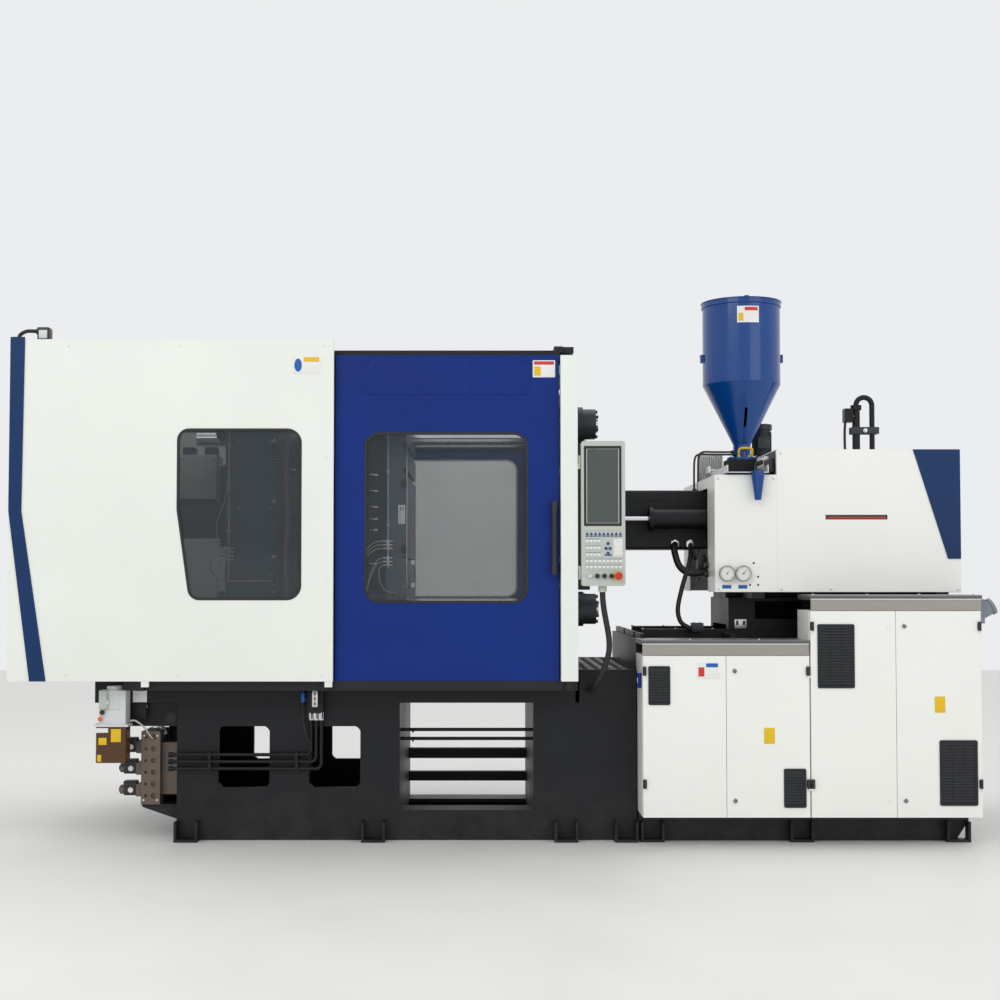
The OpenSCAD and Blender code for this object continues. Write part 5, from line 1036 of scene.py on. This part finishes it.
class MACHINE_OT_carriage_hoses(bpy.types.Operator):
    """Thick hoses between the barrel, the carriage and the deck"""

    bl_idname = "machine.carriage_hoses"
    bl_label = "Carriage hoses"

    def execute(self, context):
        shape = Shape("rubber").hose(
            [(0.87, -0.15, 1.375), (0.862, -0.19, 1.34), (0.88, -0.235, 1.265), (0.925, -0.262, 1.232),
             (1.000, -0.262, 1.236), (1.0445, -0.255, 1.245)], 0.0165, 14)
        shape.hose([(0.945, -0.15, 1.375), (0.94, -0.2, 1.34), (0.925, -0.25, 1.28), (0.885, -0.285, 1.16),
                    (0.863, -0.296, 1.06), (0.875, -0.3, 0.998), (0.912, -0.302, 0.97),
                    (0.928, -0.302, 0.966)], 0.011, 14)
        shape.use("bright_steel")
        for x in (0.87, 0.945):
            shape.nut((x, -0.1455, 1.375), (x, -0.162, 1.374), 0.0225)
        shape.nut((1.0458, -0.2549, 1.2455), (1.03, -0.2585, 1.2425), 0.0215)
        shape.use("cast_dark").block((0.926, -0.325, 0.949), (0.982, -0.272, 0.992), 0.003)
        shape.use("bright_steel").screws((0.94, 0.968), (-0.2985,), (0.992,), UP, 0.005, 0.003)
        shape.use("cast_dark")
        for k in range(4):
            z = 1.312 - 0.013 * k
            shape.rod((0.952 + 0.012 * k, -0.16, z), (1.044, -0.235, z - 0.02), 0.0042, sides=8)
        shape.block((0.972, -0.215, 1.25), (1.012, -0.18, 1.318), 0.003)
        shape.piece("carriage_hoses", "injection_unit")
        shape = Shape("cast_dark").block((1.0225, -0.33, 1.205), (1.0452, -0.276, 1.29), 0.002)
        shape.use("handle_black")
        for z in (1.226, 1.268):
            shape.rod((1.0225, -0.303, z), (0.99, -0.303, z), 0.0135, bevel=0.001)
        shape.piece("carriage_valve", "injection_unit")
        rail_xs = (0.7, 0.86, 1.04, 1.32, 1.5, 1.7, 1.9, 2.08)
        shape = Shape("bright_steel").screws(rail_xs, (-0.23, 0.23), (0.96,), UP, 0.007, 0.004)
        shape.piece("rail_screws", "frame")
        shape = Shape("bright_steel")
        for y in (-0.238, 0.238):
            for z in (1.2, 1.34, 1.46):
                shape.hex_bolt((1.046, y, z), (-1, 0, 0), 0.009, 0.008)
        shape.piece("carriage_bolts", "injection_unit")
        shape = Shape("handle_black")
        for side in (-1, 1):
            xs, y = (0.545, 0.7, 0.86, 1.02), side * 0.145
            shape.screws(xs, (y,), (1.612, 1.376), (0, side, 0), 0.005, 0.003)
        shape.piece("barrel_cover_screws", "injection_unit")
        return {"FINISHED"}


class MACHINE_OT_drive_lines(bpy.types.Operator):
    """Clamps and hose of the two oil lines behind the injection cover"""

    bl_idname = "machine.drive_lines"
    bl_label = "Drive lines"

    def execute(self, context):
        shape = Shape("handle_black").block((1.776, -0.03, 1.8095), (1.916, 0.03, 1.8155))
        for x in (1.806, 1.886):
            shape.nut((x, 0, 1.815), (x, 0, 1.842), 0.0245)
            shape.rod((x, 0, 1.842), (x, 0, 1.852), 0.0222, sides=28, bevel=0.001)
        shape.use("cast_dark").block((1.776, -0.024, 1.93), (1.916, -0.0195, 1.965))
        shape.block((1.776, 0.0195, 1.93), (1.916, 0.024, 1.965))
        shape.use("bright_steel").hex_bolt((1.846, -0.024, 1.9475), (0, -1, 0), 0.008, 0.007)
        shape.use("rubber").hose([(1.772, -0.014, 2.02), (1.758, -0.016, 2.018), (1.748, -0.016, 1.99),
                                  (1.744, -0.016, 1.92), (1.746, -0.016, 1.8105)], 0.0065)
        shape.use("brass").nut((1.79, -0.006, 2.02), (1.768, -0.014, 2.02), 0.009, 0)
        shape.piece("drive_lines", "injection_unit")
        return {"FINISHED"}


# Bed, left end and cabinets' small parts


class MACHINE_OT_bed_fittings(bpy.types.Operator):
    """Bolts, gusset, elbow and brackets of the bed and its left end"""

    bl_idname = "machine.bed_fittings"
    bl_label = "Bed fittings"

    def execute(self, context):
        shape = Shape("bed_black")
        gusset = [(-1.4885, 0.09), (-1.4885, 0.158), (-1.652, 0.158), (-1.652, 0.146)]
        for y in (-0.518, -0.338):
            shape.plate(gusset, y, y + 0.006)
        shape.block((-1.656, -0.52, 0.15), (-1.4885, -0.33, 0.1595))
        shape.block((-1.569, -0.345, 0.15), (-1.4885, -0.335, 0.519))
        shape.block((-1.694, -0.56, 0.559), (-1.629, -0.552, 0.6305))
        shape.piece("manifold_bracket", "frame")
        # Painted shade: the dark rubber disc on the bed's end stands in for a hole and the shade inside it.
        shape = Shape("rubber").stud((-1.522, -0.5195, 0.556), 0.0017, 0.026, bevel=0.0004)
        shape.use("pump_grey").hose([(-1.571, -0.425, 0.47), (-1.6, -0.425, 0.52), (-1.622, -0.43, 0.56),
                                     (-1.64, -0.47, 0.602), (-1.655, -0.548, 0.615)], 0.017, 14, 6)
        shape.use("bright_steel")
        shape.nut((-1.603, -0.425, 0.4965), (-1.603, -0.425, 0.52), 0.0245)
        shape.piece("manifold_elbow", "frame")
        shape = Shape("bed_black")
        for x in (-1.38, -0.96, -0.55, 0.24, 0.56):
            for z in (0.062, 0.584):
                shape.hex_bolt((x, 0.55, z), (0, 1, 0), 0.0095, 0.008)
        for x in (-1.7, -1.1, -0.6, 0.0):
            shape.hex_bolt((x, 0.562, 0.686), (0, 1, 0), 0.0085, 0.007)
        shape.piece("bed_bolts", "frame")
        shape = Shape()
        for z in (0.22, 0.32, 0.42):
            body = (-1.748, -0.4885, z - 0.0245), (-1.6895, -0.4315, z + 0.0415)
            shape.use("handle_black").block(*body, 0.003)
            shape.use("sign_white").stud((-1.716, -0.488, z), 0.002, 0.0125, bevel=0.0004)
            shape.use("link_steel").nut((-1.7675, -0.46, z), (-1.775, -0.46, z), 0.0125)
        shape.use("bright_steel")
        shape.screws((-1.658,), (-0.505, -0.345), (0.175, 0.27, 0.37, 0.48), (-1, 0, 0), 0.0052, 0.005)
        shape.screws((-1.645, -1.583), (-0.53,), (0.18, 0.476), (0, -1, 0), 0.0052, 0.005)
        shape.piece("manifold_fittings", "frame")
        shape = Shape("door_blue").block((0.6215, -0.722, 0.711), (0.6387, -0.702, 0.778), 0.002)
        shape.use("bright_steel").block((0.619, -0.717, 0.733), (0.622, -0.707, 0.756), 0.0008)
        shape.piece("cabinet_clip", "frame")
        shape = Shape("bright_steel").screws((0.66, 0.86, 1.17, 1.37), (-0.712,), (0.927,), UP, 0.006, 0.004)
        shape.screws((1.415, 1.66, 1.895, 2.14), (-0.712,), (1.13,), UP, 0.006, 0.004)
        shape.piece("top_trim_screws", "frame")
        shape = Shape()
        for x0, x1, z in ((0.636, 1.389, 0.911), (1.393, 2.165, 1.112)):
            shape.use("link_steel").block((x0, -0.757, z + 0.0015), (x1, -0.7555, z + 0.015), 0.0004)
            line = (x0 + 0.003, -0.7568, z - 0.003), (x1 - 0.003, -0.7515, z + 0.0005)
            shape.use("sign_white").block(*line, 0.0004)
        shape.piece("top_edge_lines", "frame")
        shape = Shape("bright_steel")
        for x in (-0.869, -0.845, -0.821):
            shape.nut((x, -0.572, 0.552), (x, -0.572, 0.5895), 0.0126, 0.0008)
        shape.use("aluminium").block((-0.856, -0.639, 0.618), (-0.83, -0.636, 0.694), 0.0008)
        for z in (0.634, 0.656, 0.678):
            shape.use("rubber").block((-0.846, -0.64, z - 0.007), (-0.84, -0.6388, z + 0.007), 0)
        shape.use("sign_blue").rod((-0.902, -0.59, 0.636), (-0.902, -0.59, 0.68), 0.0112, bevel=0.001)
        shape.use("rubber").hose([(-0.902, -0.59, 0.627), (-0.904, -0.59, 0.6), (-0.9, -0.589, 0.54),
                                  (-0.885, -0.587, 0.48), (-0.866, -0.582, 0.444)], 0.0042, steps=6)
        shape.piece("safety_valve_fittings", "frame")
        shape = Shape("sign_white").block((-1.691, -0.5636, 0.634), (-1.626, -0.562, 0.716), 0.0004)
        shape.use("sign_blue").block((-1.691, -0.5642, 0.694), (-1.626, -0.5634, 0.716), 0.0002)
        shape.use("sign_yellow")
        for x0, x1, z0, z1 in ((-1.768, -1.722, 0.461, 0.52), (-1.824, -1.787, 0.448, 0.48),
                               (-1.829, -1.811, 0.372, 0.403)):
            shape.block((x0, -0.6562, z0), (x1, -0.6552, z1), 0.0003)
        shape.use("sign_white").block((-1.836, -0.6562, 0.503), (-1.78, -0.6552, 0.524), 0.0003)
        shape.use("panel_grey").block((-1.822, -0.663, 0.612), (-1.786, -0.6618, 0.694), 0.0004)
        shape.use("handle_black").stud((-1.806, -0.6615, 0.596), 0.0035, 0.0115, bevel=0.0008)
        shape.use("valve_orange").stud((-1.815, -0.6615, 0.566), 0.0075, 0.0105, bevel=0.001)
        shape.use("hose_clear").hose([(-1.691, -0.61, 0.552), (-1.668, -0.606, 0.553), (-1.634, -0.58, 0.52),
                                      (-1.612, -0.55, 0.478), (-1.606, -0.529, 0.464)], 0.004, steps=6)
        shape.piece("pump_fittings", "frame")
        return {"FINISHED"}


class MACHINE_OT_guard_fittings(bpy.types.Operator):
    """Screws of the guards and the access plate, and the cable plug on top"""

    bl_idname = "machine.guard_fittings"
    bl_label = "Guard fittings"

    def execute(self, context):
        shape = Shape("guard_white")
        for side in (-1, 1):
            ys, axis = (side * 0.75,), (0, side, 0)
            shape.screws((-1.95, -1.45, -0.8), ys, (0.772, 2.256), axis, 0.0055, 0.003)
            shape.screws((-0.785,), ys, (1.2, 1.75), axis, 0.0055, 0.003)
        shape.screws((-2.214,), (-0.6, 0.0, 0.6), (0.8, 1.5, 2.24), (-1, 0, 0), 0.0055, 0.003)
        shape.piece("guard_screws", "frame")
        shape = Shape("door_blue")
        shape.screws((-0.6, -0.355, -0.13, 0.116), (-0.712,), (2.062, 2.186), (0, -1, 0), 0.005, 0.0028)
        shape.piece("access_plate_screws", "front_door")
        shape = Shape("rubber").hose([(-2.205, -0.66, 2.2865), (-2.2, -0.66, 2.318), (-2.172, -0.66, 2.336),
                                      (-2.14, -0.66, 2.338), (-2.108, -0.66, 2.336)], 0.0085)
        shape.use("handle_black").block((-2.112, -0.69, 2.2868), (-2.058, -0.63, 2.352), 0.004)
        shape.nut((-2.112, -0.66, 2.336), (-2.124, -0.66, 2.336), 0.0135, 0)
        shape.use("pump_grey").block((-2.104, -0.6915, 2.3), (-2.066, -0.6895, 2.338))
        shape.piece("guard_plug", "frame")
        return {"FINISHED"}


class MACHINE_OT_stage(bpy.types.Operator):
    """Light the machine on a pale studio floor and set the camera at the photo's angle"""

    bl_idname = "machine.stage"
    bl_label = "Stage"

    def execute(self, context):
        scene = context.scene
        floor = Shape().block((-14, -9, -0.02), (14, 12, -0.0005), 0).to_object("studio_floor")
        paint = finish_material("studio_floor", (0.8, 0.79, 0.76), 0.55, (40, 0.0002), 0.015, rounded=False)
        floor.data.materials.append(paint)
        scene.world = bpy.data.worlds.new("studio")
        scene.world.use_nodes = True
        background = scene.world.node_tree.nodes["Background"].inputs
        background["Color"].default_value = (0.97, 0.98, 1.0, 1)
        background["Strength"].default_value = 0.86
        for name, place, aim, size, power in (
                ("key_light", (-3.2, -6.5, 5.2), (0, 0, 1.1), (4.5, 2.5), 92),
                ("fill_light", (4.5, -5.5, 3.2), (0.3, 0, 1.2), (3.5, 2.5), 30),
                ("top_light", (0, 0.6, 5.6), (0, 0, 0), (6.0, 2.5), 60),
                ("low_light", (0, -6.5, 0.9), (0, 0, 0.7), (5.0, 1.0), 4)):
            lamp = bpy.data.lights.new(name, "AREA")
            lamp.shape = "RECTANGLE"
            lamp.size, lamp.size_y = size
            lamp.energy = power
            light = bpy.data.objects.new(name, lamp)
            scene.collection.objects.link(light)
            light.location = place
            light.rotation_euler = (Vector(aim) - Vector(place)).to_track_quat("-Z", "Y").to_euler()
        lens = bpy.data.cameras.new("camera")
        lens.lens = 52.0
        lens.shift_x = 0.025
        lens.shift_y = 0.0296
        scene.camera = bpy.data.objects.new("camera", lens)
        scene.collection.objects.link(scene.camera)
        scene.camera.location = (-0.1125, -7.25, 1.197)
        scene.camera.rotation_euler = (math.radians(92.0), 0, 0)
        scene.view_settings.view_transform = "Standard"
        return {"FINISHED"}


STEPS = (MACHINE_OT_finishes, MACHINE_OT_seals, MACHINE_OT_labels, MACHINE_OT_panel_face, MACHINE_OT_vents,
         MACHINE_OT_door_fittings, MACHINE_OT_gauges, MACHINE_OT_cover_fittings,
         MACHINE_OT_rear_platen_fittings, MACHINE_OT_moving_platen_fittings, MACHINE_OT_rear_door_trim,
         MACHINE_OT_hopper_fittings, MACHINE_OT_throat_fittings, MACHINE_OT_carriage_hoses,
         MACHINE_OT_drive_lines, MACHINE_OT_bed_fittings, MACHINE_OT_guard_fittings, MACHINE_OT_stage)


class MACHINE_PT_panel(bpy.types.Panel):
    """Sidebar panel with the sizes, the colours and a button for each piece"""

    bl_idname = "MACHINE_PT_panel"
    bl_label = "Injection Moulding Machine"
    bl_space_type = "VIEW_3D"
    bl_region_type = "UI"
    bl_category = "Machine"

    def draw(self, context):
        layout = self.layout
        for group in (context.scene.machine_sizes, context.scene.machine_colours):
            box = layout.box()
            for name in group.__annotations__:
                box.prop(group, name)
        column = layout.column(align=True)
        for step in STEPS:
            column.operator(step.bl_idname)


CLASSES = (MachineColours, MachineSizes, *STEPS, MACHINE_PT_panel)


def register():
    """Adds the property groups, the operators and the panel."""
    for item in CLASSES:
        bpy.utils.register_class(item)
    bpy.types.Scene.machine_sizes = bpy.props.PointerProperty(type=MachineSizes)
    bpy.types.Scene.machine_colours = bpy.props.PointerProperty(type=MachineColours)


def unregister():
    """Takes them away again."""
    del bpy.types.Scene.machine_colours
    del bpy.types.Scene.machine_sizes
    for item in reversed(CLASSES):
        bpy.utils.unregister_class(item)


def main():
    """Runs every step."""
    register()
    for step in STEPS:
        area, name = step.bl_idname.split(".")
        getattr(getattr(bpy.ops, area), name)()


if __name__ == "__main__":
    main()
